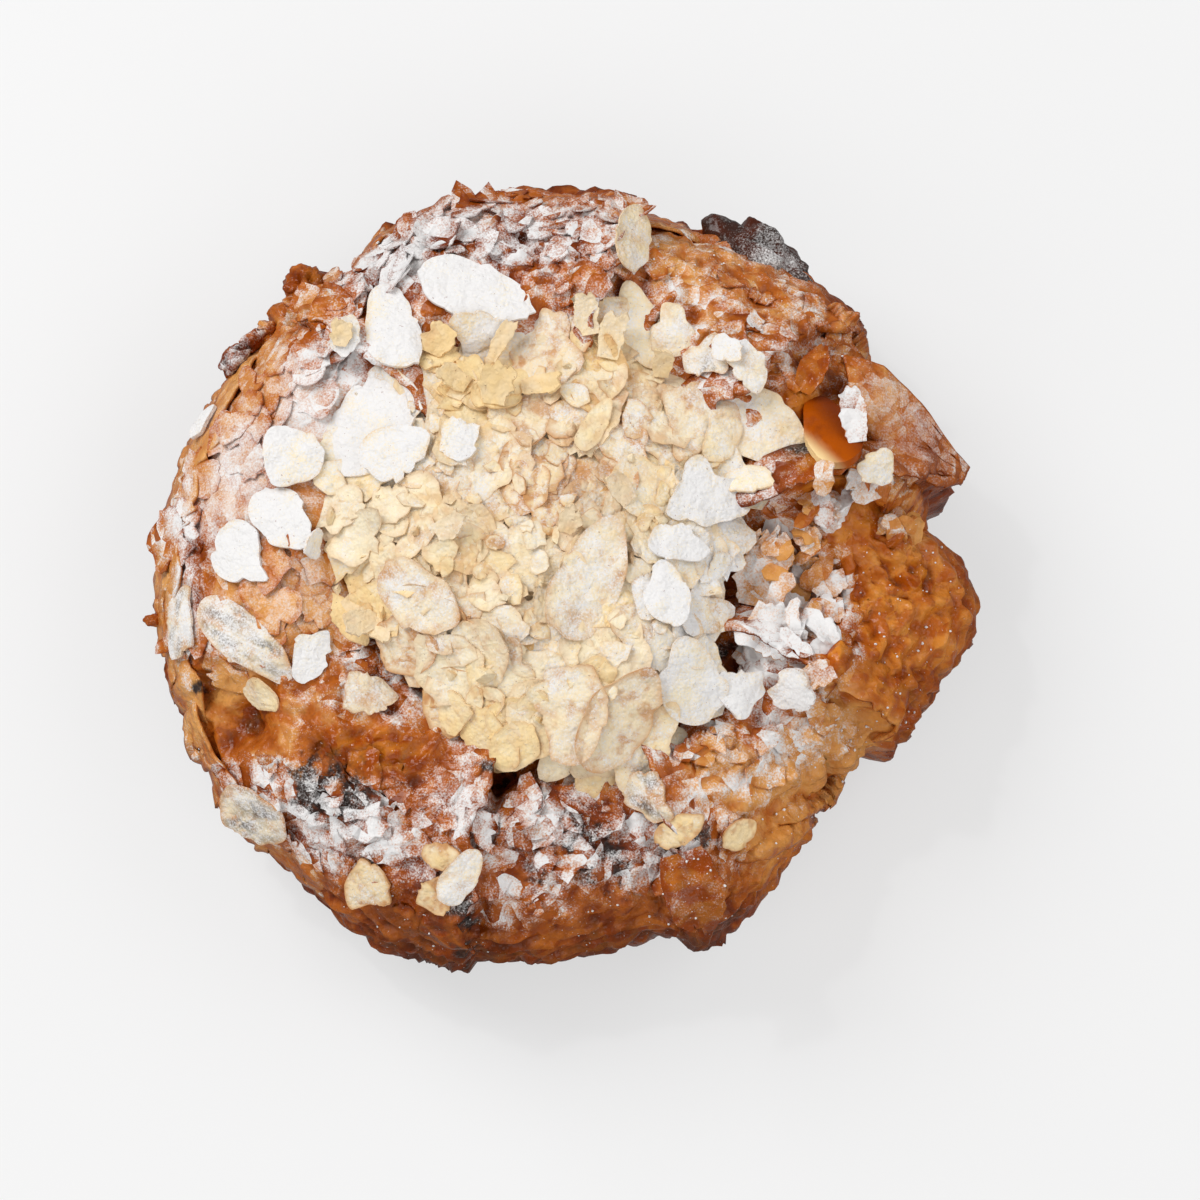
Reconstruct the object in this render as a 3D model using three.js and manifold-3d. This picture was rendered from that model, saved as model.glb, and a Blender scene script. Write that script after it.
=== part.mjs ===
// An almond croissant in millimetres, +Z up, resting on z = 0.
// A laminated pastry roll is bent into a ring until its two horns meet at the front left.
// Almond cream fills the middle of the ring and carries a heap of flaked almonds.

import * as THREE from "three";
import { ImprovedNoise } from "three/addons/math/ImprovedNoise.js";
import { mergeVertices } from "three/addons/utils/BufferGeometryUtils.js";
import Module from "manifold-3d";

// Pastry roll, bent into a ring about the Z axis
const OUTER_RADIUS = 67.5; // outer edge of the ring, before its bulges
const HOLE_RADIUS = 23; // hole in the middle of the ring
const CREST_HEIGHT = 39.5; // top of the roll above the tray
const WAIST_HEIGHT = 17; // height of the roll's widest line
const TRAY_FLATTENING = 4.5; // how much of the round underside the tray has taken away
const SECTION_POWER = 2.1; // 2 is an elliptical section, more is squarer
const BELLY_ANGLE = 98; // degrees, the thick middle of the roll, across from the horns
const BELLY_EXTRA_HEIGHT = 2.5;
const TOP_SHARE = 0.35; // crowds the section's facets on to the upper side
const FOOT_FADE = { start: 1, end: 9 }; // heights between which the crust's relief comes in
const TOP_FADE = { start: 0.2, end: 0.7 }; // shares of the roll's height between which dents come in

// Bulges of the outer edge: where (degrees), how wide (degrees), how far out, how much lower the crest
const BULGES = {
  nose: { at: 355, width: 10, out: 6, lower: 7 },
  noseNotch: { at: 8, width: 5, out: -4, lower: 0 },
  rightWaist: { at: 33, width: 8, out: -2.5, lower: 0 },
  backWaist: { at: 73, width: 9, out: -2, lower: 0 },
  backLeft: { at: 108, width: 12, out: 1.7, lower: 0 },
  knobNotch: { at: 125, width: 3, out: -3, lower: 0 },
  leftBelly: { at: 192, width: 34, out: 3.2, lower: 0 },
  leftHeel: { at: 217, width: 6, out: 1.8, lower: 0 },
  leftHorn: { at: 243, width: 13, out: 3, lower: 0 },
  rightHorn: { at: 282, width: 10, out: -1.8, lower: 0 },
  frontRightWaist: { at: 321, width: 15, out: -8, lower: 1 },
};

// Turns of dough: each lifts towards its free edge. Side 1 has its dough at greater angles, -1 at lesser.
const TURNS = [
  { edge: 82, side: 1, lift: 2.6, reach: 18 },
  { edge: 43, side: 1, lift: 2.6, reach: 18 },
  { edge: 16, side: 1, lift: 5, reach: 11 },
  { edge: 336, side: 1, lift: 3, reach: 8 },
  { edge: 293, side: 1, lift: 3, reach: 9 },
  { edge: 134, side: -1, lift: 2.4, reach: 12 },
  { edge: 207, side: -1, lift: 2.2, reach: 20 },
  { edge: 252, side: -1, lift: 2.6, reach: 14 },
];
const EDGE_WIDTH = 3; // degrees over which a turn's edge drops
const EDGE_SLANT = 0.04; // how far an edge runs askew, in degrees of ring for each degree of section

// Seam where the horns meet
const SEAM_ANGLE = 255;
const SEAM_WIDTH = 3;
const SEAM_DEPTH = 4.5;

// Dents: the torn pocket at the left, and the pit beside the heap at the right
const DENTS = [
  { x: -56, y: -27, radius: 6, depth: 3 },
  { x: 46, y: 19, radius: 7, depth: 6.5 },
];

// Crags of the flaky crust
const CRAG_SIZE = 9;
const CRAG_HEIGHT = 1.5;
const CRAG_LEVEL = 0.55; // of a crag's height, the ridges above the smooth skin
const CRAG_SLOPE = 2; // how steeply the ridges fall
const FINE_CRAG_SIZE = 4;
const FINE_CRAG_SHARE = 0.6;

// Burnt lump of leaked filling under the back right of the ring
const BURNT_LUMP = { x: 33.5, y: 53, z: 23, along: 13, across: 10, height: 11, turn: -33 };
const BURNT_CRAG_SHARE = 0.12; // of the lump's size
const BURNT_CRAG_RATE = 3; // crags across the lump's half width

// Almond cream: a cap that lies over the ring's inner slope, and a plug that fills the hole
const CAP_CENTRE = { x: 4, y: 4 };
const CAP_RADIUS = 43;
const CAP_LOBES = [
  { count: 2, share: 0.035, turn: 20 },
  { count: 3, share: 0.05, turn: 75 },
  { count: 5, share: 0.03, turn: 10 },
];
const CAP_LEVEL = 38; // height of the cap's rim line
const CAP_RISE = 7.5; // top of the heap above the rim line
const CAP_DROP = 5; // underside of the cap below the rim line
const CAP_ROUNDNESS = 0.62; // 1 is an ellipsoid, less has a steeper rim
const CAP_LUMP_SIZE = 13;
const CAP_LUMP_HEIGHT = 1.5;
const CAP_LUMP_SLICE = 0.5; // which slice of the noise gives the lumps
const PLUG_RADIUS = 30;
const PLUG_BOTTOM = 7;
const CLEARANCE = 1; // between the cream's core and the smooth ring under it
const CREAM_FADE = { start: 1.5, end: 8 }; // distances from the cream's rim between which relief comes in

// Flaked almonds
const FLAKE_THICKNESS = 1.3;
const FLAKE_SIDES = 10; // an even number
const FLAKE_SINK = 0.25; // how far a flake's underside sinks in at its middle
const FLAKE_GUARD = 0.4; // air kept between a flake and the other solid
const FLAKE_LENGTH = { least: 11, most: 20 };
const FLAKE_ASPECT = 0.6;
const FLAKE_TILT = 9; // degrees, the most that a scattered flake leans
const SCATTER_COUNT = 42;
const SCATTER_SHARE = 0.93; // of the cap's radius
const SCATTER_SPACING = 7; // least distance from a scattered flake to a large one
const SCATTER_SEED = 20;
const GOLDEN_ANGLE = 137.508;

// Large flakes that stand out: middle, length, width, and the turn of the long axis from +X
const HEAP_FLAKES = [
  { x: 4, y: -5, length: 22, width: 11.5, turn: 65 },
  { x: 1.5, y: -25, length: 19, width: 11.5, turn: 93 },
  { x: 10, y: -27, length: 20, width: 12, turn: 62 },
  { x: 21, y: -21, length: 14, width: 11, turn: 100 },
  { x: 24, y: 22, length: 17, width: 12, turn: 12 },
  { x: 33, y: 22, length: 17, width: 10, turn: -24 },
  { x: 13, y: 38, length: 16, width: 7.5, turn: 108 },
  { x: -15, y: 38, length: 21, width: 10.5, turn: -20 },
  { x: -28, y: 31, length: 15, width: 10, turn: 105 },
  { x: -31, y: 19, length: 20, width: 14, turn: 70 },
];
const RING_FLAKES = [
  { x: -48, y: 15, length: 11, width: 10, turn: 0 },
  { x: -55, y: 0, length: 12, width: 10, turn: -30 },
  { x: -55, y: -14, length: 21.5, width: 8.5, turn: -38 },
  { x: -65, y: -10, length: 13.5, width: 7, turn: 80 },
  { x: -44, y: -17, length: 10.5, width: 6, turn: 75 },
  { x: -53, y: -43, length: 14, width: 10, turn: -20 },
  { x: -33, y: -56, length: 11, width: 8.5, turn: 80 },
  { x: -21, y: -57, length: 9, width: 6.5, turn: 50 },
  { x: 16, y: -42, length: 9.5, width: 9, turn: -40 },
  { x: 20, y: -48, length: 10.5, width: 5, turn: 35 },
  { x: 46, y: -22, length: 9, width: 8, turn: 60 },
  { x: 51, y: 21, length: 15, width: 9, turn: 105 },
];

// Colours and roughness of the baked surfaces
const CRUST_COLOUR = 0xb9762f;
const CRUST_ROUGHNESS = 0.55;
const CREAM_COLOUR = 0xe9d8ae;
const CREAM_ROUGHNESS = 0.7;

// Facets
const RING_FACETS = { along: 144, round: 20 };
const RING_SPACE_FACETS = { along: 48, round: 16 };
const LUMP_FACETS = { round: 18, down: 10 };
const CAP_FACETS = { round: 36, down: 12 };
const PLUG_FACETS = 28;

// Rays that find where a flake lies
const RAY_HEIGHT = 100;
const SLOPE_REACH = 2.5; // from the middle to the points that give the slope

// Repeatable random numbers
const RANDOM_FACTOR = 1664525;
const RANDOM_STEP = 1013904223;
const RANDOM_RANGE = 2 ** 32;

const WELD_DISTANCE = 1e-3;
const RADIANS = Math.PI / 180;
const QUARTER_TURN = 90;
const HALF_TURN = 180;
const FULL_TURN = 360;
const noise = new ImprovedNoise();
const wasm = await Module();
wasm.setup();

// Signed difference of two angles in degrees, from -180 to 180
function angleBetween(angle, from) {
  const turned = (angle - from + HALF_TURN) % FULL_TURN;
  return ((turned + FULL_TURN) % FULL_TURN) - HALF_TURN;
}

function bell(distance, width) {
  return Math.exp(-((distance / width) ** 2));
}

// Rises smoothly from 0 at the start to 1 at the end
function fadeIn(value, { start, end }) {
  return THREE.MathUtils.smoothstep(value, start, end);
}

// A power that keeps the sign, for rounded-square sections
function signedPower(value, power) {
  return Math.sign(value) * Math.abs(value) ** power;
}

// Size of the roll at an angle round the ring
function rollAt(angle) {
  const belly = Math.cos((angle - BELLY_ANGLE) * RADIANS);
  let outer = OUTER_RADIUS;
  let crest = CREST_HEIGHT + BELLY_EXTRA_HEIGHT * belly;
  for (const { at, width, out, lower } of Object.values(BULGES)) {
    const share = bell(angleBetween(angle, at), width);
    outer += out * share;
    crest -= lower * share;
  }
  return { crest, halfWidth: (outer - HOLE_RADIUS) / 2, middle: (outer + HOLE_RADIUS) / 2 };
}

// Lift of the dough's turns and the cut of the seam, at a place on the roll
function turnRelief(angle, section) {
  const slant = (section - QUARTER_TURN) * EDGE_SLANT;
  let relief = -SEAM_DEPTH * bell(angleBetween(angle, SEAM_ANGLE - slant), SEAM_WIDTH);
  for (const { edge, side, lift, reach } of TURNS) {
    const inside = side * angleBetween(angle, edge + side * slant);
    relief += lift * fadeIn(inside, { start: -EDGE_WIDTH, end: 0 }) * Math.exp(-Math.max(inside, 0) / reach);
  }
  return relief;
}

// Height of the crust's crags at a point: ridges between shallow hollows
function cragRelief(point) {
  const noiseAt = (size) => noise.noise(point.x / size, point.y / size, point.z / size);
  const ridges = CRAG_LEVEL - CRAG_SLOPE * Math.abs(noiseAt(CRAG_SIZE));
  return CRAG_HEIGHT * (ridges + FINE_CRAG_SHARE * noiseAt(FINE_CRAG_SIZE));
}

function capRadius(angle) {
  let share = 1;
  for (const lobe of CAP_LOBES) share += lobe.share * Math.cos(lobe.count * (angle - lobe.turn) * RADIANS);
  return CAP_RADIUS * share;
}

// 0 where the almond cream covers the ring, 1 well clear of it
function clearOfCream(point) {
  const x = point.x - CAP_CENTRE.x;
  const y = point.y - CAP_CENTRE.y;
  const distance = Math.hypot(x, y) - capRadius(Math.atan2(y, x) / RADIANS);
  return fadeIn(distance, CREAM_FADE);
}

// Point of the pastry's skin. Angle runs round the ring, section round the roll from its outer waist.
function skinPoint(angle, section, growth, hasRelief) {
  const { halfWidth, crest, middle } = rollAt(angle);
  const power = 2 / SECTION_POWER;
  const outward = signedPower(Math.cos(section * RADIANS), power);
  const upward = signedPower(Math.sin(section * RADIANS), power);
  const height = upward > 0 ? crest - WAIST_HEIGHT : WAIST_HEIGHT + TRAY_FLATTENING;
  const cosine = Math.cos(angle * RADIANS);
  const sine = Math.sin(angle * RADIANS);
  const place = (lift) => {
    const radius = middle + outward * halfWidth + Math.cos(section * RADIANS) * lift;
    const z = WAIST_HEIGHT + upward * height + Math.sin(section * RADIANS) * lift;
    return new THREE.Vector3(radius * cosine, radius * sine, z);
  };
  const bare = place(0);
  let lift = growth;
  if (hasRelief) {
    const shown = fadeIn(bare.z, FOOT_FADE) * clearOfCream(bare);
    const topShare = fadeIn(upward, TOP_FADE);
    lift += shown * (turnRelief(angle, section) + cragRelief(bare));
    for (const { x, y, radius, depth } of DENTS) {
      lift -= topShare * depth * bell(Math.hypot(bare.x - x, bare.y - y), radius);
    }
  }
  const point = place(lift);
  point.z = Math.max(point.z, 0);
  return point;
}

// Moves every vertex of a geometry, welds what then coincides, and makes a solid of it
function warpedSolid(geometry, move) {
  const positions = geometry.attributes.position;
  const vertex = new THREE.Vector3();
  for (let i = 0; i < positions.count; i += 1) {
    vertex.fromBufferAttribute(positions, i);
    positions.setXYZ(i, ...move(vertex).toArray());
  }
  return solidOf(geometry);
}

function solidOf(geometry) {
  const bare = geometry.clone();
  bare.deleteAttribute("normal");
  bare.deleteAttribute("uv");
  const welded = mergeVertices(bare, WELD_DISTANCE);
  const triVerts = new Uint32Array(welded.index.array);
  const vertProperties = new Float32Array(welded.attributes.position.array);
  return new wasm.Manifold(new wasm.Mesh({ numProp: 3, vertProperties, triVerts }));
}

function geometryOf(solid) {
  const { vertProperties, triVerts } = solid.getMesh();
  const geometry = new THREE.BufferGeometry();
  geometry.setAttribute("position", new THREE.BufferAttribute(vertProperties, 3));
  geometry.setIndex(new THREE.BufferAttribute(triVerts, 1));
  geometry.computeVertexNormals();
  return geometry;
}

// The outer body of a union, without the scraps and sealed hollows that fusing can leave
function largestBody(solid) {
  return solid.decompose().reduce((best, body) => (body.volume() > best.volume() ? body : best));
}

// The pastry ring. The torus gives the angles, and the skin's function gives the places.
function pastryRing(facets, growth, hasRelief) {
  const bigRadius = 2;
  const torus = new THREE.TorusGeometry(bigRadius, 1, facets.round, facets.along);
  return warpedSolid(torus, (vertex) => {
    const angle = Math.atan2(vertex.y, vertex.x) / RADIANS;
    const even = Math.atan2(vertex.z, Math.hypot(vertex.x, vertex.y) - bigRadius);
    const section = (even + TOP_SHARE * Math.cos(even)) / RADIANS;
    return skinPoint(angle, section, growth, hasRelief);
  });
}

function burntLump() {
  const { x, y, z, along, across, height, turn } = BURNT_LUMP;
  const placed = new THREE.Matrix4().makeRotationZ(turn * RADIANS).setPosition(x, y, z);
  const halfSize = new THREE.Vector3(along, across, height);
  const ball = new THREE.SphereGeometry(1, LUMP_FACETS.round, LUMP_FACETS.down);
  return warpedSolid(ball, (vertex) => {
    const spread = vertex.clone().multiplyScalar(BURNT_CRAG_RATE);
    const swell = 1 + BURNT_CRAG_SHARE * noise.noise(spread.x, spread.y, spread.z);
    return vertex.clone().multiply(halfSize).multiplyScalar(swell).applyMatrix4(placed);
  });
}

// Almond cream before any flakes: a lumpy cap and the plug below it, cut clear of the ring
function creamCore() {
  const upright = QUARTER_TURN * RADIANS;
  const ball = new THREE.SphereGeometry(1, CAP_FACETS.round, CAP_FACETS.down).rotateX(upright);
  const cap = warpedSolid(ball, (vertex) => {
    const angle = Math.atan2(vertex.y, vertex.x);
    const reach = capRadius(angle / RADIANS) * Math.hypot(vertex.x, vertex.y) ** CAP_ROUNDNESS;
    const x = CAP_CENTRE.x + reach * Math.cos(angle);
    const y = CAP_CENTRE.y + reach * Math.sin(angle);
    const lump = CAP_LUMP_HEIGHT * noise.noise(x / CAP_LUMP_SIZE, y / CAP_LUMP_SIZE, CAP_LUMP_SLICE);
    const thickness = vertex.z > 0 ? CAP_RISE + lump : CAP_DROP;
    return new THREE.Vector3(x, y, CAP_LEVEL + thickness * signedPower(vertex.z, CAP_ROUNDNESS));
  });
  const profile = [
    [0, PLUG_BOTTOM],
    [PLUG_RADIUS, PLUG_BOTTOM],
    [PLUG_RADIUS, CAP_LEVEL],
    [0, CAP_LEVEL],
  ].map(([radius, z]) => new THREE.Vector2(radius, z));
  const plug = solidOf(new THREE.LatheGeometry(profile, PLUG_FACETS).rotateX(upright));
  const ringSpace = pastryRing(RING_SPACE_FACETS, CLEARANCE, false);
  return largestBody(cap.add(plug).subtract(ringSpace));
}

// Height and slope of a mesh at x, y: rays down at the middle and either side of it
function surfaceAt(mesh, x, y) {
  const down = new THREE.Vector3(0, 0, -1);
  const hitAt = (dx, dy) => {
    const ray = new THREE.Raycaster(new THREE.Vector3(x + dx, y + dy, RAY_HEIGHT), down);
    return ray.intersectObject(mesh)[0]?.point;
  };
  const middle = hitAt(0, 0);
  const left = hitAt(-SLOPE_REACH, 0);
  const right = hitAt(SLOPE_REACH, 0);
  const front = hitAt(0, -SLOPE_REACH);
  const back = hitAt(0, SLOPE_REACH);
  if (!middle || !left || !right || !front || !back) return null;
  const normal = right.sub(left).cross(back.sub(front)).normalize();
  return { middle, normal };
}

// One almond flake lying on a mesh: a thin oval plate, sunk in a little at its middle
function flakeOn(mesh, { x, y, length, width, turn, tilt = 0, lean = 0 }, guard = 0) {
  const surface = surfaceAt(mesh, x, y);
  if (!surface) return null;
  const oval = new THREE.Shape().absellipse(0, 0, length / 2 + guard, width / 2 + guard, 0, 2 * Math.PI);
  const depth = FLAKE_THICKNESS + 2 * guard;
  const corners = oval.getPoints(FLAKE_SIDES / 2).slice(0, -1);
  const plate = new THREE.ExtrudeGeometry(new THREE.Shape(corners), { depth, bevelEnabled: false });
  plate.translate(0, 0, -FLAKE_SINK - guard).rotateZ(turn * RADIANS);
  plate.rotateX(tilt * Math.cos(lean) * RADIANS).rotateY(tilt * Math.sin(lean) * RADIANS);
  const upright = new THREE.Quaternion().setFromUnitVectors(new THREE.Vector3(0, 0, 1), surface.normal);
  plate.applyQuaternion(upright).translate(...surface.middle.toArray());
  return solidOf(plate);
}

// Repeatable random numbers from 0 to 1
function randomFrom(seed) {
  let state = seed;
  return () => {
    state = (state * RANDOM_FACTOR + RANDOM_STEP) % RANDOM_RANGE;
    return state / RANDOM_RANGE;
  };
}

// Flakes spread evenly over the heap in a sunflower pattern, smaller than the large ones and clear of them
function scatteredFlakes() {
  const random = randomFrom(SCATTER_SEED);
  const flakes = [];
  for (let i = 0; i < SCATTER_COUNT; i += 1) {
    const angle = i * GOLDEN_ANGLE;
    const radius = SCATTER_SHARE * capRadius(angle) * Math.sqrt((i + 0.5) / SCATTER_COUNT);
    const length = THREE.MathUtils.lerp(FLAKE_LENGTH.least, FLAKE_LENGTH.most, random() ** 2);
    flakes.push({
      x: CAP_CENTRE.x + radius * Math.cos(angle * RADIANS),
      y: CAP_CENTRE.y + radius * Math.sin(angle * RADIANS),
      length,
      width: length * FLAKE_ASPECT,
      turn: random() * HALF_TURN,
      tilt: random() * FLAKE_TILT,
      lean: random() * 2 * Math.PI,
    });
  }
  const gap = (flake, big) => Math.hypot(flake.x - big.x, flake.y - big.y);
  return flakes.filter((flake) => HEAP_FLAKES.every((big) => gap(flake, big) > SCATTER_SPACING));
}

// Fuses flakes to a solid, leaving out any that would come too near the other solid
function withFlakes(core, flakes, other) {
  const mesh = new THREE.Mesh(geometryOf(core), new THREE.MeshBasicMaterial());
  const solids = [core];
  for (const flake of flakes) {
    const plate = flakeOn(mesh, flake);
    if (plate && flakeOn(mesh, flake, FLAKE_GUARD).intersect(other).isEmpty()) solids.push(plate);
  }
  return largestBody(wasm.Manifold.union(solids));
}

function namedMesh(name, solid, colour, roughness) {
  const material = new THREE.MeshStandardMaterial({ color: colour, roughness, metalness: 0 });
  const mesh = new THREE.Mesh(geometryOf(solid), material);
  mesh.name = name;
  return mesh;
}

const bareRing = largestBody(pastryRing(RING_FACETS, 0, true).add(burntLump()));
const topping = withFlakes(creamCore(), [...HEAP_FLAKES, ...scatteredFlakes()], bareRing);
const croissant = withFlakes(bareRing, RING_FLAKES, topping);

const pastry = new THREE.Group();
pastry.add(namedMesh("croissant", croissant, CRUST_COLOUR, CRUST_ROUGHNESS));
pastry.add(namedMesh("almond_topping", topping, CREAM_COLOUR, CREAM_ROUGHNESS));

// The origin is on the tray, under the middle of the croissant's outline
const outline = new THREE.Box3().setFromObject(pastry);
const middle = outline.getCenter(new THREE.Vector3());
pastry.children.forEach((mesh) => mesh.position.set(-middle.x, -middle.y, -outline.min.z));

export default pastry;
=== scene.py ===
"""Looks of a round almond croissant: flaky pastry ring, almond cream, flaked almonds and icing sugar."""

import functools
import itertools
import math

import bmesh
import bpy
import numpy as np
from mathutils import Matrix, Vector
from mathutils.bvhtree import BVHTree


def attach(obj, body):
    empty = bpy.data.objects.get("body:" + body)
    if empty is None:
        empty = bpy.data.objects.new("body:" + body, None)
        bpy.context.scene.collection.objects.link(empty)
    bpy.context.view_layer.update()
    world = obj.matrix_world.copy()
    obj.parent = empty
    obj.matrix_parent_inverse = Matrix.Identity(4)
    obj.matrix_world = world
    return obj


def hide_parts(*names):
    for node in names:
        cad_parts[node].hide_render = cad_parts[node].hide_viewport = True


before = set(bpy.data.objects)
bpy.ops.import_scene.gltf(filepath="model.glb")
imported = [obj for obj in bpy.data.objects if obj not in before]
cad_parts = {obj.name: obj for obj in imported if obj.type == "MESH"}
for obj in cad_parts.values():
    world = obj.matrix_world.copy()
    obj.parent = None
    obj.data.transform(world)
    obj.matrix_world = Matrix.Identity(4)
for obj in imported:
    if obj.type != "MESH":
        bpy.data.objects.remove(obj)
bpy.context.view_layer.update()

bl_info = {
    "name": "Almond Croissant",
    "version": (1, 0, 0),
    "blender": (4, 5, 0),
    "location": "View3D > Sidebar > Croissant",
    "description": "Dresses the solids of a round almond croissant with crust, almonds and icing sugar",
    "category": "Add Mesh",
}

BODY = "root"
RING_NODE = "croissant"
HEAP_NODE = "almond_topping"

# Millimetres are used throughout, from the ring's own centre, and become metres as a mesh is made
MM = 0.001
RING_CENTRE = (-0.895, -1.0665)

# Pastry roll: section, tray side and belly
SECTION_POWER = 2.1
TRAY_FLATTENING = 4.5
BELLY_ANGLE = 98
BELLY_EXTRA_HEIGHT = 2.5
TOP_SHARE = 0.35
RING_FACETS = {"along": 520, "round": 182}

# Bulges of the outer edge: where (degrees), width (degrees), how far out, how much lower the crest
BULGES = (
    (355, 10, 6, 7),
    (8, 5, -4, 0),
    (33, 8, -2.5, 0),
    (73, 9, -2, 0),
    (108, 12, 1.7, 0),
    (125, 3, -3, 0),
    (192, 34, 3.2, 0),
    (217, 6, 1.8, 0),
    (243, 13, 3, 0),
    (282, 10, -1.8, 0),
    (321, 15, -8, 1),
)

# Turns of dough: free edge (degrees), side that its dough is on, lift, reach (degrees)
TURNS = (
    (82, 1, 2.6, 18),
    (43, 1, 2.6, 18),
    (16, 1, 5, 11),
    (336, 1, 3, 8),
    (293, 1, 3, 9),
    (134, -1, 2.4, 12),
    (252, -1, 2.6, 14),
)
EDGE_WIDTH = 1.5
EDGE_SLANT = 0.04
EDGE_WANDER = 2.2
SEAM_ANGLE = 255
SEAM_WIDTH = 1.3
SEAM_DEPTH = 3.2
LAYERED_END_ANGLE = 252
LAYER_PITCH = 1.35
LAYER_HEIGHT = 0.4

# Dents: plan place, radius, depth
DENTS = (
    (-55, -27, 6.5, 4.5),
    (46, 19, 7, 7),
    (-10, -36.5, 3.2, 8),
    (44, -8, 7, 3),
    (36.6, 2.1, 4, 5),
    (46.2, -15.6, 2.5, 5),
    (28, -17, 3, 5),
    (-62.5, -21.5, 1.8, 6),
)

# Places on the crust: x, y, half length, half width, turn (degrees), amount
SUGAR_PLACES = (
    (-14, 56, 22, 10, 4, 0.72),
    (4, 57, 11, 9, -6, 0.6),
    (-27, 52, 13, 8, 25, 0.95),
    (-42, 33, 8, 10, 0, 0.72),
    (-36, 33, 5, 6, 0, 0.9),
    (-43, 25, 7, 7, 0, 0.75),
    (-55, 17, 10, 8, 70, 0.64),
    (-56, 9, 12, 10, 85, 0.62),
    (-66, 8, 4, 32, 4, 0.68),
    (35, -18, 6, 5, 0, 0.95),
    (-47, -5, 14, 10, 0, 0.4),
    (-32, -15, 7, 5, -30, 0.42),
    (-41, -45.5, 19, 8, -14, 0.76),
    (-25, -49, 14, 8, -4, 0.5),
    (-55, -37, 8, 5, -38, 0.52),
    (-18, -43, 8, 6, 60, 0.46),
    (-14, -46, 5, 7, 0, 0.7),
    (-49, -45, 7, 5, -30, 0.72),
    (-50, -38, 6, 5, -30, 0.6),
    (-42, -58, 8, 4, -20, 0.48),
    (0, -45, 13, 8, -4, 0.62),
    (-5, -55, 11, 7, -20, 0.5),
    (12, -49, 15, 8, 0, 0.62),
    (30, -38, 9, 8, 20, 0.4),
    (38, -30, 10, 8, 40, 0.7),
    (47, -31, 8, 6, 40, 0.42),
    (35, 36, 13, 8, -38, 0.43),
    (29, 33, 10, 7, -20, 0.5),
    (29, 42, 11, 5, -30, 0.42),
    (17, 46, 7, 5, -20, 0.46),
    (38, -12, 9, 10, 60, 0.66),
    (44, 0, 6, 9, 90, 0.42),
    (49.5, -8, 3, 14, 5, 0.54),
    (60, 25, 12, 6, -38, 0.42),
)
BARE_PLACES = (
    (63, -8, 15, 19, 0, 1.0),
    (-33, -34, 13, 5, -8, 0.9),
    (-55, -27, 9, 7, -20, 0.9),
    (-28, -62, 16, 5, -18, 0.9),
    (26, 49, 17, 7, -25, 0.35),
    (51, 40, 10, 6, -45, 0.5),
    (20, -62, 30, 5, 10, 0.9),
    (52, -34, 12, 8, 40, 0.3),
    (57, -22, 7, 7, 0, 0.9),
    # Bare of sugar so that the gap behind the left rim stays dark: painted shade.
    (-62.5, -2, 3, 9, 0, 0.9),
    (35, -46, 6, 4, 30, 0.8),
)
AMBER_PLACES = (
    (36.6, 2.1, 5, 4, 30, 0.9),
    (44, 13.6, 6, 4.5, -20, 0.7),
    (41, 26, 5, 4, 40, 0.8),
    (46.2, -15.6, 3, 6, 0, 1.0),
    (51, 6, 6, 8, 0, 0.8),
    (36, -6, 4, 2, 10, 0.8),
    (-32, -33.5, 10, 4, -8, 0.6),
    (61, -8, 12, 15, 0, 0.85),
    (45, -46, 18, 9, 42, 0.5),
    (56, -23, 8, 8, 0, 0.6),
    (8, -66, 36, 6, 4, 0.25),
    (-24, -64, 14, 5, -18, 0.2),
    (-55, -27, 6, 4, -20, 0.35),
    (-42, 41, 9, 3, 45, 0.45),
    (-58, 40, 14, 3, 55, 0.3),
)
BROWN_PLACES = (
    (-14, 56, 24, 10, 4, 0.1),
    (-25, -60, 16, 6, -20, 0.25),
    (-33, -34, 12, 4, -8, 0.42),
    (71, -6, 5, 9, 0, 0.12),
    (62, -2.4, 3.5, 3, 30, 0.3),
    (-52, -29, 7, 4, -20, 0.3),
    (57, -21, 6, 5, 0, 0.36),
    # Darkens the gap behind the left rim: painted shade.
    (-62.5, -2, 3, 9, 0, 0.3),
    (42, 17, 5, 4, 0, 0.5),
    (56, 5, 4, 4, 0, 0.45),
    (0, -66, 30, 6, 0, 0.2),
    (24, -59, 10, 6, 15, 0.22),
)
GOLD_PLACES = (
    (-66, 5, 8, 40, 0, 0.15),
    (-57, -22, 7, 7, 0, 0.36),
    (-48, -7, 14, 10, 0, 0.26),
    (-54, 20, 14, 22, 0, 0.14),
    (60, 24, 13, 9, -35, 0.14),
    (-50, 38, 20, 6, 50, 0.2),
    (46, -32, 13, 8, 35, 0.72),
    (30, -38, 9, 8, 20, 0.35),
    (54, -33, 6, 6, 40, 0.55),
    (-49, -31, 6, 5, -20, 0.35),
    (-63, -25, 5, 6, 0, 0.3),
    (61, -10, 9, 8, 0, 0.24),
    (60, 4, 9, 7, 0, 0.2),
    (46, -44, 20, 9, 42, 0.26),
    (68, -10, 7, 18, 0, 0.22),
    (26, 47, 18, 9, -22, 0.12),
)
BURNT_PLACES = (
    (-41, -40.5, 10, 6, -16, 1.0),
    (-34, -52, 4, 3, 0, 0.6),
    (5, -51, 9, 6, -30, 0.85),
    (-4, -55, 4, 3, 0, 0.5),
    (22, -49, 6, 4, 10, 0.8),
    (-17, -61.5, 4, 3, 30, 1.0),
    # The next three rows lie in deep dents; their burnt colour darkens the holes: painted shade.
    (-10.5, -37, 4, 2.2, 0, 1.0),
    (-62.5, -21.5, 1.4, 1.4, 0, 0.9),
    (28, -17, 3, 3, 0, 1.0),
    (41, 19, 2.5, 3, 30, 0.8),
    (-16, -68, 5, 3, 0, 0.6),
)
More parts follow.
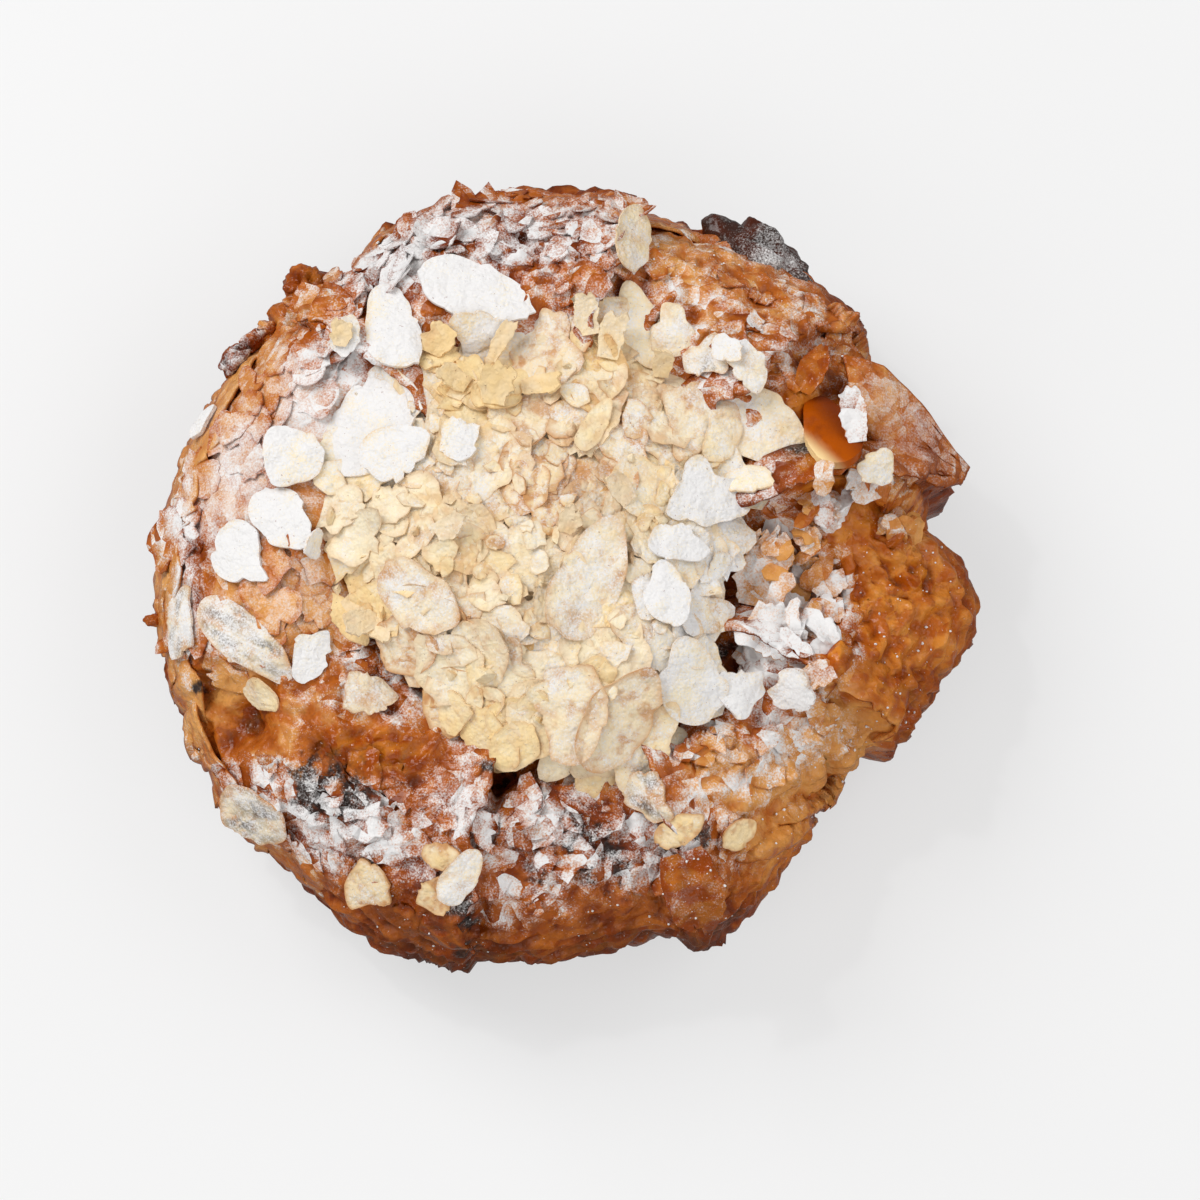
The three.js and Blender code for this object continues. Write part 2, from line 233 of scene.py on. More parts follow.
FLAKY_PLACES = (
    (-14, 56, 22, 10, 4, 1.0),
    (4, 57, 9, 9, -6, 1.0),
    (-33, 47, 13, 9, 30, 0.8),
    (38, 38, 14, 8, -35, 0.5),
    (-35, -46, 24, 10, -12, 0.55),
    (5, -49, 20, 9, -4, 0.55),
    (36, -30, 12, 8, 30, 0.5),
)
CALM_PLACES = (
    (-52, 18, 16, 22, 0, 1.0),
    (-46, -8, 16, 11, 0, 0.9),
    (60, 24, 13, 9, -35, 1.0),
    (52, 6, 7, 8, 0, 0.7),
)
LUMPY_PLACES = (
    (62, -8, 14, 18, 0, 1.0),
    (48, -38, 20, 16, 42, 1.0),
    (26, -61, 18, 12, 15, 0.8),
)

# Places on the heap, in the same columns
WHITE_PLACES = (
    (26, 6, 8, 9, 0, 0.95),
    (22, -10, 8, 12, 0, 0.8),
    (30, -20, 10, 8, 30, 1.0),
    (39, -2, 8, 20, 0, 0.9),
    (-16, 44, 14, 8, -15, 0.85),
    (-32, 30, 10, 14, 0, 0.85),
    (30, 34, 12, 6, -30, 0.9),
    (-24, 22, 8, 8, 0, 0.4),
)
DUSKY_PLACES = (
    (1, 12, 10, 8, 0, 1.0),
    (10, 25, 8, 6, 0, 0.6),
    (-12, 4, 6, 5, 0, 0.45),
    (-8, 22, 6, 5, 0, 0.45),
    (-20, -12, 7, 6, 0, 0.4),
    # Darkens a gap between the flakes: painted shade.
    (-2, 40, 8, 6, -30, 1.0),
    (-31, -17, 8, 6, 0, 0.75),
    (-21, -28, 7, 6, -30, 0.9),
    (-21, 11, 6, 5, 0, 0.5),
    (13, 18, 6, 5, 0, 0.6),
)
YELLOW_PLACES = (
    (-14, 31, 11, 8, 0, 0.7),
    (10, 36, 8, 9, 0, 0.6),
    (-22, -2, 12, 10, 0, 0.45),
    (-10, -30, 10, 7, 0, 0.8),
    (-34, -10, 6, 5, 0, 0.7),
)

# Grains of sugar on bare crust: x, y, half length, half width, turn (degrees), how many. Then the lowest place
# that holds them, their least radius and how much larger they get
SPECK_PLACES = (
    (62, -8, 12, 18, 0, 70),
    (46, -38, 18, 9, 42, 70),
    (14, -58, 30, 7, 6, 60),
    (-24, -58, 18, 7, -18, 40),
    (30, 46, 22, 6, -30, 30),
)
SPECK_LOWEST = 20
SPECK_LEAST = 0.12
SPECK_RANGE = 0.17

# Heap of almonds: its centre and the corners of its edge on the plan. Then the cream under it: how far inside
# that edge it stays, how round its cap is, and the radius and bottom of its plug in the ring's hole
HEAP_CENTRE = (-4, 2)
HEAP_EDGE = (
    (-40.6, -1.4),
    (-24.5, -19.5),
    (-14.3, -34.0),
    (5.0, -38.5),
    (15.5, -35.3),
    (26.9, -28.5),
    (29.2, -8.2),
    (30.6, 12.2),
    (34.0, 19.0),
    (23.5, 30.6),
    (6.8, 45.0),
    (-4.0, 38.0),
    (-23.0, 37.0),
    (-38.8, 26.0),
)
CREAM_INSET = 5
CAP_ROUNDNESS = 0.62
PLUG_RADIUS = 22
PLUG_BOTTOM = 7
CREAM_FACETS = {"around": 220, "down": 90}

# Almond flakes that stand out: x, y, length, width, turn (degrees), sugar, toast, yellow, way to a straight
# break (degrees, or None)
HEAP_LANDMARKS = (
    (14.7, -33.0, 16, 8, 60, 0.35, 0.5, 0.35, None),
    (9.8, -28.7, 20, 12, 64, 0.35, 0.8, 0.2, None),
    (2.2, -26.2, 19, 11.5, 93, 0.4, 0.7, 0.15, 0),
    (5.0, -5.4, 22, 11.6, 65, 0.55, 0.65, 0.1, None),
    (30.1, -23.9, 10.5, 8.5, 20, 1.0, 0.1, 0.0, 200),
    (22.2, -22.1, 14, 11.5, 100, 0.72, 0.15, 0.1, None),
    (34.0, 22.4, 18, 12, -22, 0.5, 0.3, 0.15, None),
    (23.0, 23.0, 16, 12.5, 10, 0.4, 0.7, 0.2, 180),
    (27.5, 20.0, 9, 7, 40, 0.5, 0.3, 0.3, 120),
    (13.8, 39.8, 16, 7.5, 108, 0.45, 0.05, 0.3, None),
    (8.5, 42.0, 8, 6, 30, 0.35, 0.6, 0.4, 90),
    (19.0, 39.0, 10, 7.5, 100, 0.5, 0.4, 0.1, 60),
    (-14.6, 45.4, 21.5, 10.5, -20, 1.0, 0.05, 0.0, None),
    (-14.5, 38.8, 12, 7.5, 5, 0.85, 0.2, 0.3, 200),
    (-29.2, 39.1, 15, 10.5, 105, 1.0, 0.05, 0.0, None),
    (-32.2, 22.2, 20, 15, 70, 0.9, 0.05, 0.1, None),
    (-28.0, 17.0, 12, 9.5, 30, 0.85, 0.15, 0.1, None),
    (-17.8, 19.0, 8.5, 7.5, 20, 0.85, 0.1, 0.2, 150),
    (5.9, 21.5, 11, 4.2, 60, 0.15, 0.4, 0.4, None),
    (-11.3, 26.8, 8.6, 5.8, 0, 0.05, 0.15, 0.75, None),
    (-8.0, 29.5, 7, 5, 40, 0.05, 0.15, 0.7, 90),
    (-15.5, 31.5, 6.5, 5.5, 70, 0.05, 0.15, 0.75, 180),
    (-21.0, 34.0, 6.5, 6, 20, 0.05, 0.15, 0.75, 270),
    (-23.9, -8.4, 17, 10.5, -30, 0.45, 0.7, 0.2, None),
    (-36.7, -11.1, 11.5, 4.4, -48, 0.05, 0.2, 0.8, None),
    (18.2, -7.5, 11, 7.5, 100, 0.95, 0.1, 0.0, None),
    (19.9, 1.0, 11, 6.5, 0, 0.95, 0.1, 0.0, 40),
    (24.3, 9.6, 16.5, 10, -10, 0.9, 0.2, 0.0, 170),
    (33.0, 12.6, 10.6, 5.4, -5, 0.4, 0.2, 0.3, 20),
    (-12.5, -30.3, 9.5, 8, 20, 0.2, 0.35, 0.7, 30),
    (-7.5, -33.0, 10, 8, 60, 0.2, 0.35, 0.65, None),
    (-17.5, -27.5, 8, 6.5, 100, 0.2, 0.4, 0.6, 210),
)
RING_LANDMARKS = (
    (12.3, 55.6, 12, 7.5, 75, 0.5, 0.4, 0.4, None),
    (-45.9, 16.7, 11.5, 10.2, 0, 0.85, 0.1, 0.1, None),
    (-47.6, 5.8, 14, 8.5, -52, 1.0, 0.05, 0.0, None),
    (-54.5, 0.1, 12, 10, -30, 1.0, 0.05, 0.0, 40),
    (-42.5, 1.5, 5.5, 4.5, 60, 0.8, 0.1, 0.1, 90),
    (-54.1, -14.7, 21.6, 8.6, -38, 0.6, 0.85, 0.1, None),
    (-65.5, -11.1, 14, 7, 80, 0.7, 0.75, 0.0, 200),
    (-42.7, -16.8, 11, 6, 75, 0.95, 0.1, 0.0, 20),
    (-51.1, -23.6, 7.6, 5.8, -25, 0.35, 0.4, 0.3, None),
    (-33.6, -23.9, 11.4, 7.4, -5, 0.45, 0.7, 0.1, 180),
    (-52.5, -43.9, 14, 9.6, -20, 0.5, 0.95, 0.0, None),
    (-32.5, -56.5, 11, 8.4, 80, 0.3, 1.0, 0.5, 190),
    (-19.9, -51.7, 7, 5.2, 10, 0.2, 1.0, 0.5, 90),
    (-21.1, -58.4, 9, 6.3, 50, 0.2, 1.0, 0.5, 200),
    (-16.9, -55.5, 10.5, 6, 60, 0.6, 0.6, 0.1, None),
    (15.5, -41.7, 9.8, 9, -40, 0.45, 0.9, 0.2, 60),
    (20.6, -47.5, 10.8, 4.8, 35, 0.2, 0.9, 0.6, None),
    (30.6, -47.5, 7.2, 4.6, 30, 0.1, 0.9, 0.6, None),
    (39.9, -23.8, 9, 8.2, 60, 0.95, 0.7, 0.0, 200),
    (54.1, 14.9, 7.5, 6.3, 60, 0.6, 0.3, 0.2, 70),
    (-62.0, 25.2, 7, 3, 40, 0.9, 0.4, 0.0, None),
    (-36.7, 37.7, 8, 4.6, 70, 1.0, 0.1, 0.0, 100),
    (25.7, 33.6, 9, 7.6, 60, 0.55, 0.75, 0.0, 200),
    (32.2, 32.0, 11.5, 5.5, -60, 0.75, 0.4, 0.0, 120),
    (29.0, 34.5, 7, 4.5, -30, 0.8, 0.4, 0.0, 40),
)

# Pointed flap at the right: its upper and lower edge on the plan, from its root to its tip
FLAP_UPPER = ((48.5, 35.0), (55.5, 33.3), (62.0, 27.9), (67.3, 22.2), (71.0, 18.4))
FLAP_LOWER = ((50.5, 25.5), (54.5, 20.0), (59.5, 17.2), (65.5, 14.8), (70.0, 16.2))
FLAP_LEVEL = 40.0
FLAP_DROP = 15.0
FLAP_THICKNESS = 0.9

# Rounded folds of crust: line on the plan, width, height
FOLDS = (
    (((50, 5), (50.5, -4), (49.5, -12), (47, -20), (43, -27)), 4.5, 3.2),
    (((46, 45), (51, 41), (55, 36)), 5, 3),
    (((51, 13.5), (57, 12.5), (63, 9)), 8, 4.5),
    (((36, -45), (43, -40), (50, -33)), 5, 3),
    (((30, -52), (38, -47), (45, -41)), 5, 3),
)

# Places of the curled shreds: x, y, half length, half width, how many, sugar
SHRED_PLACES = (
    (42, 2, 5, 7, 18, 0.42),
    (39, -12, 7, 7, 10, 0.8),
    (47, 8.5, 4, 3.5, 9, 0.55),
    (58.2, 6.3, 3, 2.5, 7, 0.14),
)

# Curled leaves of crust: x, y, length, width, turn, tilt, curl (degrees), sugar, bake. A leaf with hardly any
# sugar is glossy and has a smoother edge
CRUST_LEAVES = (
    (50.8, 18.5, 9.5, 4.2, 98, 6, -6, 0.85, 0.4),
    (54.5, 10.0, 8, 8, 112, 24, 20, 0.7, 0.1),
    (41.5, 28.5, 9, 4.6, 62, 10, -20, 0.1, 0.75),
    (43.5, 1.5, 9, 3.4, 84, 30, -40, 0.5, 0.2),
    (20.5, -51.5, 15, 10, -72, 12, -75, 0.15, 0.95),
    (40.5, 5.0, 9, 3.2, 118, 25, -30, 0.4, 0.4),
    (42.0, -4.0, 9, 5, 28, 12, -15, 0.9, 0.25),
    (42.2, -2.5, 9, 4.6, 30, 16, -15, 0.85, 0.25),
    (42.4, -1.0, 8, 4, 34, 20, -15, 0.7, 0.25),
    (33.5, 3.0, 7, 6, 30, 12, 30, 0.1, 0.6),
    (31.0, -17.5, 11, 7, -12, 8, -16, 0.95, 0.2),
    (33.5, -8.0, 13, 8, 78, 8, 12, 0.56, 0.2),
    (36.5, -2.5, 13, 6, -24, 10, -14, 0.6, 0.25),
    (32.5, -10.5, 13, 8.5, -30, 10, -20, 0.75, 0.2),
    (34.5, -7.0, 14, 7, -22, 12, -24, 0.7, 0.2),
    (31.0, -14.5, 12, 7, -36, 8, -18, 0.85, 0.2),
    (38.5, -10.0, 9, 6, -60, 14, -16, 0.8, 0.2),
    (49.2, -3.0, 6, 4.4, 198, 12, -24, 0.6, 0.3),
    (48.8, -8.5, 6, 4.6, 188, 10, -24, 0.62, 0.3),
    (48.0, -14.0, 5.5, 4.6, 194, 12, -24, 0.6, 0.3),
    (46.5, -20.0, 6, 4.4, 204, 10, -24, 0.58, 0.3),
)

# Curled almond chips that stand up: x, y, length, width, turn, tilt, curl (degrees), sugar, toast, yellow
ALMOND_CHIPS = (
    (8.0, 33.5, 8, 4.4, 78, 6, 20, 0.3, 0.1, 0.3),
    (5.0, 37.5, 7, 4.0, 100, 6, 20, 0.4, 0.1, 0.2),
    (17.5, 31.0, 5.5, 3.2, 85, 36, 20, 0.1, 0.3, 0.5),
    (12.0, 30.0, 9, 1.6, 118, 12, 8, 0.05, 1.0, 0.8),
    (9.0, 24.5, 10, 4.2, 236, 14, -24, 0.25, 0.5, 0.3),
    (-11.3, 25.0, 7, 5.6, 82, 10, 18, 0.02, 0.2, 0.75),
    (-6.5, 28.5, 7, 3.2, 4, 16, 18, 0.02, 0.3, 0.6),
    (-16.0, 28.5, 6, 3.6, 150, 12, 20, 0.02, 0.2, 0.6),
    (-12.0, 33.5, 8, 2.6, 60, 12, 12, 0.1, 0.3, 0.5),
    (-22.0, 34.5, 5.5, 5.0, 66, 12, 8, 0.02, 0.4, 0.8),
    (-38.0, 35.5, 4.5, 3.6, 80, 14, 8, 0.1, 0.3, 0.4),
    (-36.5, -7.0, 11, 4.6, -46, 8, 14, 0.05, 0.2, 0.4),
    (-31.5, -11.5, 6, 4.2, 190, 14, 22, 0.2, 0.3, 0.3),
    (1.0, 2.5, 5, 3.4, 70, 24, 14, 0.2, 0.5, 0.3),
    (-21.0, 2.0, 6, 3.8, 30, 14, 18, 0.25, 0.4, 0.2),
    (12.0, 8.0, 6, 3.6, 130, 14, 18, 0.3, 0.5, 0.2),
)

# Torn rims of crust on the outer shoulder: first and last angle, section angle of the inner and the outer
# edge (degrees), lift of the inner edge
TORN_RIMS = (
    (140, 206, 42, 10, 0.8),
    (150, 190, 28, 0, 0.5),
    (198, 236, 34, 6, 0.8),
    (64, 127, 36, 10, 0.8),
    (18, 44, 38, 10, 0.8),
)

# Lumps of leaked filling on the edge: x, y, z, half sizes, turn, bake, burn, sugar, ways to its holes
RIM_LUMPS = (
    (-44.8, 49.6, 31, 4.2, 3.8, 4.4, 20, 0.6, 0.0, 0.2, ((-0.5, 0.5, 0.7), (0.55, 0.2, 0.8))),
    (-42.5, 46.0, 31.5, 3.0, 2.4, 2.8, 0, 0.65, 0.0, 0.4, ((0.7, -0.2, 0.7),)),
    (-57.0, 37.0, 27, 3.6, 2.4, 3.0, 52, 0.75, 0.3, 0.46, ()),
    (-54.2, 40.6, 27, 2.8, 1.7, 2.2, 35, 0.55, 0.1, 0.4, ()),
    (-51.8, 43.0, 27, 1.8, 1.3, 1.8, 0, 0.4, 0.0, 0.25, ()),
    (-71.2, -8.5, 23, 1.6, 1.2, 1.4, 0, 0.5, 0.0, 0.1, ()),
)

# Burnt lump at the back right: its middle, half sizes and turn (degrees), and the plan place of its sugar
BURNT_LUMP_PLACE = (33.5, 53, 23)
BURNT_LUMP_HALF_SIZES = (13, 9.5, 11)
BURNT_LUMP_TURN = -33
BURNT_LUMP_SUGAR = (38, 55)

# Candied almond beside the heap
CANDIED_PLACE = (46.4, 20.4)
CANDIED_LENGTH = 18
CANDIED_WIDTH = 9
CANDIED_THICKNESS = 2.6
CANDIED_TURN = 106

# Scattered things: how far flakes stay inside the heap's edge, how many crumbs there are, the shards' lowest
# place and their first and last radius, and the sugar below which a leaf counts as bare
FLAKE_INSET = 3
CRUMB_COUNT = 60
SHARD_LOWEST = 29
SHARD_RADII = (28, 72)
BARE_LEAF_SUGAR = 0.2
GOLDEN_ANGLE = 137.508

# Facets of thin sheets: along and across
RIBBON_FACETS = (130, 8)
RIM_FACETS = (230, 12)
FLAP_FACETS = (48, 26)
FOLD_FACETS = (60, 18)
LEAF_FACETS = (26, 12)
SHRED_FACETS = (10, 3)
CHIP_FACETS = (14, 10)

# Angles (degrees) past which an edge is shaded crisp
SHARD_CRISP = 38
FLAKE_CRISP = 40
LEAF_CRISP = 50

# Seeds of the random draws
SEEDS = {
    "shards": 11,
    "candied": 3,
    "leaves": 17,
    "specks": 41,
    "shreds": 21,
    "heap": 5,
    "crumbs": 31,
    "chips": 23,
}

# Stage, in metres: floor with its glow, and the paint and glow by which it lights the part from below, lights
# (name, place, size, power in watts) and camera
WHITE = (1.0, 1.0, 1.0, 1.0)
FLOOR_HALF_SIZE = 3.0
FLOOR_GLOW = 0.54
FLOOR_BOUNCE_PAINT = (0.12, 0.12, 0.12, 1.0)
FLOOR_BOUNCE_GLOW = (0.45, 0.45, 0.45, 1.0)
LIGHTS = (
    ("key_light", (-0.7, 0.6, 0.8), 0.8, 8.6),
    ("glint_light", (-0.45, 0.4, 0.95), 0.06, 1.1),
    ("left_light", (-0.7, -0.7, 0.7), 1.0, 3.0),
    ("right_light", (0.9, 0.35, 0.8), 1.0, 4.0),
    ("front_light", (0.6, -0.85, 0.75), 1.0, 3.6),
)
SKY_STRENGTH = 0.3
CAMERA_LENS = 150.0
CAMERA_SENSOR = 36.0
CAMERA_TILT = 10
CAMERA_DISTANCE = 0.877
CAMERA_AIM = (0.0059, -0.0054, 0.020)


def linear(red, green, blue):
    """Scene-linear colour, opaque, of a screen colour that is given from 0 to 255."""
    shares = np.array((red, green, blue)) / 255
    curved = ((shares + 0.055) / 1.055) ** 2.4
    return (*np.where(shares > 0.04045, curved, shares / 12.92).tolist(), 1.0)


def length_property(name, description, default):
    settings = {"default": default, "min": 0.0, "subtype": "DISTANCE", "unit": "LENGTH", "precision": 4}
    return bpy.props.FloatProperty(name=name, description=description, **settings)


def colour_property(name, description, default):
    settings = {"default": linear(*default), "size": 4, "min": 0.0, "max": 1.0, "subtype": "COLOR"}
    return bpy.props.FloatVectorProperty(name=name, description=description, **settings)


class CroissantSizes(bpy.types.PropertyGroup):
    """Sizes of the pastry, the heap and the flakes"""

    outer_radius: length_property("Outer radius", "Outer edge of the ring, before its bulges", 0.0675)
    hole_radius: length_property("Hole radius", "Hole in the middle of the ring", 0.023)
    crest_height: length_property("Crest height", "Top of the roll above the tray", 0.0395)
    waist_height: length_property("Waist height", "Height of the roll's widest line", 0.017)
    cap_level: length_property("Heap level", "Height of the almond cream's rim", 0.038)
    cap_rise: length_property("Heap rise", "Top of the almond cream above its rim", 0.0068)
    flake_thickness: length_property("Flake thickness", "Thickness of an almond flake", 0.0007)
    shard_thickness: length_property("Shard thickness", "Thickness of a loose piece of crust", 0.0005)
    edge_thickness: length_property("Edge thickness", "Thickness of the dough's torn edges", 0.0006)


class CroissantColours(bpy.types.PropertyGroup):
    """Colours of the crust, the almonds and the sugar"""

    gold: colour_property("Gold crust", "Palest baked crust", (222, 158, 86))
    orange: colour_property("Orange crust", "Crust of a middling bake", (184, 98, 30))
    brown: colour_property("Brown crust", "Well baked crust", (128, 52, 9))
    dark: colour_property("Dark crust", "Darkest crust before it burns", (76, 30, 9))
    burnt: colour_property("Burnt crust", "Burnt crust and leaked filling", (50, 34, 28))
    sugar: colour_property("Icing sugar", "Thick icing sugar", (237, 235, 234))
    # The almond cream's tan is partly its own colour and partly painted shade for the gaps between the flakes
    # where it shows.
    cream: colour_property("Almond cream", "Baked almond cream", (222, 178, 116))
    almond: colour_property("Almond", "Pale almond flake", (248, 235, 203))
    yellow: colour_property("Oily almond", "Almond flake without sugar", (252, 224, 164))
    # The toasted tan is partly toasting and partly painted shade: at almond edges, in facet lows and in the
    # cream between the flakes.
    toast_and_shade: colour_property("Toasted almond", "Toasted edge of an almond flake", (198, 136, 78))
    charred: colour_property("Charred almond", "Darkened middle of an almond flake", (70, 66, 68))
    caramel: colour_property("Caramel", "Sugar boiled to caramel", (176, 80, 3))
    # Amber crust is the lighter copy of the caramel crust, mixed in on the crests and at random: partly
    # painted light.
    amber: colour_property("Amber crust", "Glossy crust without sugar", (218, 132, 40))
    floor: colour_property("Floor", "Plain floor", (160, 160, 160))


# Fields and noise, worked out for whole arrays of points at once


class SoftNoise:
    """Smooth random field, about -1 to 1, the same on every run."""

    def __init__(self, seed):
        random = np.random.default_rng(seed)
        self.order = np.tile(random.permutation(256), 2)
        slopes = random.normal(size=(256, 3))
        self.slopes = slopes / np.linalg.norm(slopes, axis=1, keepdims=True)
        self.values = random.random((256, 3))

    def corner(self, cell):
        cell = cell & 255
        return self.order[self.order[self.order[cell[:, 0]] + cell[:, 1]] + cell[:, 2]]

    def __call__(self, points):
        cell = np.floor(points).astype(int)
        inside = points - cell
        ease = inside**3 * (inside * (inside * 6 - 15) + 10)
        total = np.zeros(len(points))
        for step in itertools.product((0, 1), repeat=3):
            step = np.array(step)
            slope = self.slopes[self.corner(cell + step)]
            weight = np.where(step, ease, 1 - ease).prod(axis=1)
            total += weight * ((inside - step) * slope).sum(axis=1)
        return total * 1.6

    def layered(self, points, octaves):
        total = np.zeros(len(points))
        for octave in range(octaves):
            total += self(points * 2**octave) / 2**octave
        return total

    def plates(self, points):
        """Nearest and second distance to scattered seeds, the seed's own values and the way from it."""
        base = np.floor(points).astype(int)
        first = np.full(len(points), 9.0)
        second = np.full(len(points), 9.0)
        values = np.zeros((len(points), 3))
        away = np.zeros((len(points), 3))
        for step in itertools.product((-1, 0, 1), repeat=3):
            cell = base + np.array(step)
            value = self.values[self.corner(cell)]
            offset = points - (cell + value)
            distance = np.linalg.norm(offset, axis=1)
            nearer = distance < first
            second = np.where(nearer, first, np.minimum(second, distance))
            values[nearer] = self.values[(self.corner(cell[nearer]) * 7 + 3) & 255]
            away[nearer] = offset[nearer]
            first = np.where(nearer, distance, first)
        return first, second, values, away


NOISE = SoftNoise(7)


def fade(value, start, end):
    """Rises smoothly from 0 at the start to 1 at the end."""
    share = np.clip((value - start) / (end - start), 0, 1)
    return share * share * (3 - 2 * share)


def bell(distance, width):
    return np.exp(-((distance / width) ** 2))


def angle_from(angle, origin):
    """Signed difference of two angles in degrees, from -180 to 180."""
    return (angle - origin + 180) % 360 - 180


def signed_power(value, power):
    return np.sign(value) * np.abs(value) ** power


def columns(*values):
    """Points from their coordinates. A bare number fills its whole column."""
    return np.stack(np.broadcast_arrays(*values), axis=1)


def turned(along, across, turn):
    """Plan offsets of points that are given along and across a line at a turn in radians."""
    cosine, sine = math.cos(turn), math.sin(turn)
    return along * cosine - across * sine, along * sine + across * cosine


def round_plan(radius, angle):
    """Plan points at distances and angles in degrees."""
    return radius * np.cos(np.radians(angle)), radius * np.sin(np.radians(angle))


def on_plan(x, y, places):
    """How far each point belongs to any of the places, from 0 to 1."""
    most = np.zeros(np.shape(x))
    for place_x, place_y, along, across, turn, amount in places:
        cosine, sine = math.cos(math.radians(turn)), math.sin(math.radians(turn))
        u = ((x - place_x) * cosine + (y - place_y) * sine) / along
        v = ((y - place_y) * cosine - (x - place_x) * sine) / across
        most = np.maximum(most, amount * np.exp(-((u * u + v * v) ** 1.5)))
    return most


# Skin of the pastry ring


def heap_reach(angle):
    """Distance from the heap's centre to its edge, at angles in degrees."""
    corners = np.array(HEAP_EDGE) - HEAP_CENTRE
    angles = np.degrees(np.arctan2(corners[:, 1], corners[:, 0]))
    return np.interp(angle, angles, np.hypot(corners[:, 0], corners[:, 1]), period=360)


def beyond_heap(x, y):
    """Distance of plan points outside the heap's edge, in millimetres."""
    dx, dy = x - HEAP_CENTRE[0], y - HEAP_CENTRE[1]
    return np.hypot(dx, dy) - heap_reach(np.degrees(np.arctan2(dy, dx)))


def roll_at(angle, sizes):
    """Crest height, half width and middle radius of the roll at angles round the ring."""
    outer = np.full(len(angle), sizes.outer_radius / MM)
    crest = sizes.crest_height / MM + BELLY_EXTRA_HEIGHT * np.cos(np.radians(angle - BELLY_ANGLE))
    for at, width, out, lower in BULGES:
        share = bell(angle_from(angle, at), width)
        outer = outer + out * share
        crest = crest - lower * share
    hole = sizes.hole_radius / MM
    return crest, (outer - hole) / 2, (outer + hole) / 2


def turn_relief(angle, section, place):
    """Lift of the dough's turns and the cut of the seam, and how near each point is to a free edge."""
    slant = (section - 90) * EDGE_SLANT
    wander = EDGE_WANDER * NOISE.layered(place / 11, 2)
    gap = bell(angle_from(angle + 0.6 * wander, SEAM_ANGLE - slant), SEAM_WIDTH)
    relief = -SEAM_DEPTH * gap * fade(section, 15, 60)
    edge_line = np.zeros(len(angle))
    for edge, side, lift, reach in TURNS:
        inside = side * angle_from(angle + wander, edge + side * slant)
        step = fade(inside, -EDGE_WIDTH, 0)
        relief += lift * step * np.exp(-np.maximum(inside, 0) / reach)
        edge_line = np.maximum(edge_line, step * np.exp(-np.maximum(inside, 0) / 2.5))
    past_end = -angle_from(angle, LAYERED_END_ANGLE - slant + 0.5 * wander)
    layers = LAYER_HEIGHT * np.sin(past_end * 2 * math.pi / LAYER_PITCH)
    layers = layers * fade(past_end, -1, 0) * (1 - fade(past_end, 5, 9))
    return relief + layers, edge_line


def crust_relief(place, upward):
    """Crags of the crust in millimetres, and where its creases are."""
    x, y = place[:, 0], place[:, 1]
    wall = 1 - fade(upward, 0.35, 0.8)
    flaky = on_plan(x, y, FLAKY_PLACES) * (1 - 0.6 * wall)
    knobbly = on_plan(x, y, LUMPY_PLACES)
    lumpy = np.maximum(knobbly, wall)
    bent = place + 2.6 * np.stack([NOISE(place / 8 + shift) for shift in (0, 31.4, 67.7)], axis=1)
    first, second, values, away = NOISE.plates(bent / 5.2)
    crease = 1 - fade(second - first, 0.02, 0.17)
    tilt = (away * (values - 0.5)).sum(axis=1)
    plates = (values[:, 0] - 0.5) * 0.7 + 1.6 * tilt - 0.4 * crease
    folds = 0.9 - 3.2 * np.abs(NOISE(bent / 6.5 + 5))
    small_folds = 0.5 - 1.6 * np.abs(NOISE(bent / 3.2 + 15))
    knobs = np.abs(NOISE(bent / 2.9 + 2)) * fade(NOISE(place / 9 + 4), -0.5, 0.4)
    lumps = 4.8 * np.abs(NOISE(bent / 5.8 + 11)) + 4.0 * knobs - 1.9
    rolls = 2.6 * np.abs(NOISE(bent / (8, 8, 3.6) + 21)) - 0.9
    rolls = rolls + 0.5 * np.sin(2 * math.pi * (place[:, 2] / 3.1 + 1.1 * NOISE(place / 10 + 6)))
    fine = 0.15 * NOISE(place / 1.5)
    calm = on_plan(x, y, CALM_PLACES)
    relief = flaky * plates + (1 - lumpy) * ((0.8 - 0.3 * flaky) * folds + 0.8 * small_folds)
    relief = (1 - 0.75 * calm) * relief + knobbly * (1 - 0.3 * wall) * lumps
    relief = relief + wall * (1 - 0.7 * knobbly) * rolls + fine
    depth = fade(-relief, 0.1, 1.3)
    return relief, np.clip(np.maximum(crease * (0.35 + 0.65 * flaky), depth), 0, 1)


class Skin:
    """Places on the pastry's skin: angles round the ring and angles round its section, in degrees."""

    def __init__(self, angle, section, sizes):
        self.angle, self.section = angle, section
        crest, self.half_width, self.middle = roll_at(angle, sizes)
        self.across, self.up = np.cos(np.radians(section)), np.sin(np.radians(section))
        self.outward = signed_power(self.across, 2 / SECTION_POWER)
        self.upward = signed_power(self.up, 2 / SECTION_POWER)
        self.waist = sizes.waist_height / MM
        self.height = np.where(self.upward > 0, crest - self.waist, self.waist + TRAY_FLATTENING)

    def lifted(self, lift):
        """Points at a height over the smooth skin."""
        radius = self.middle + self.outward * self.half_width + self.across * lift
        x, y = round_plan(radius, self.angle)
        z = self.waist + self.upward * self.height + self.up * lift
        return columns(x, y, np.maximum(z, 0))


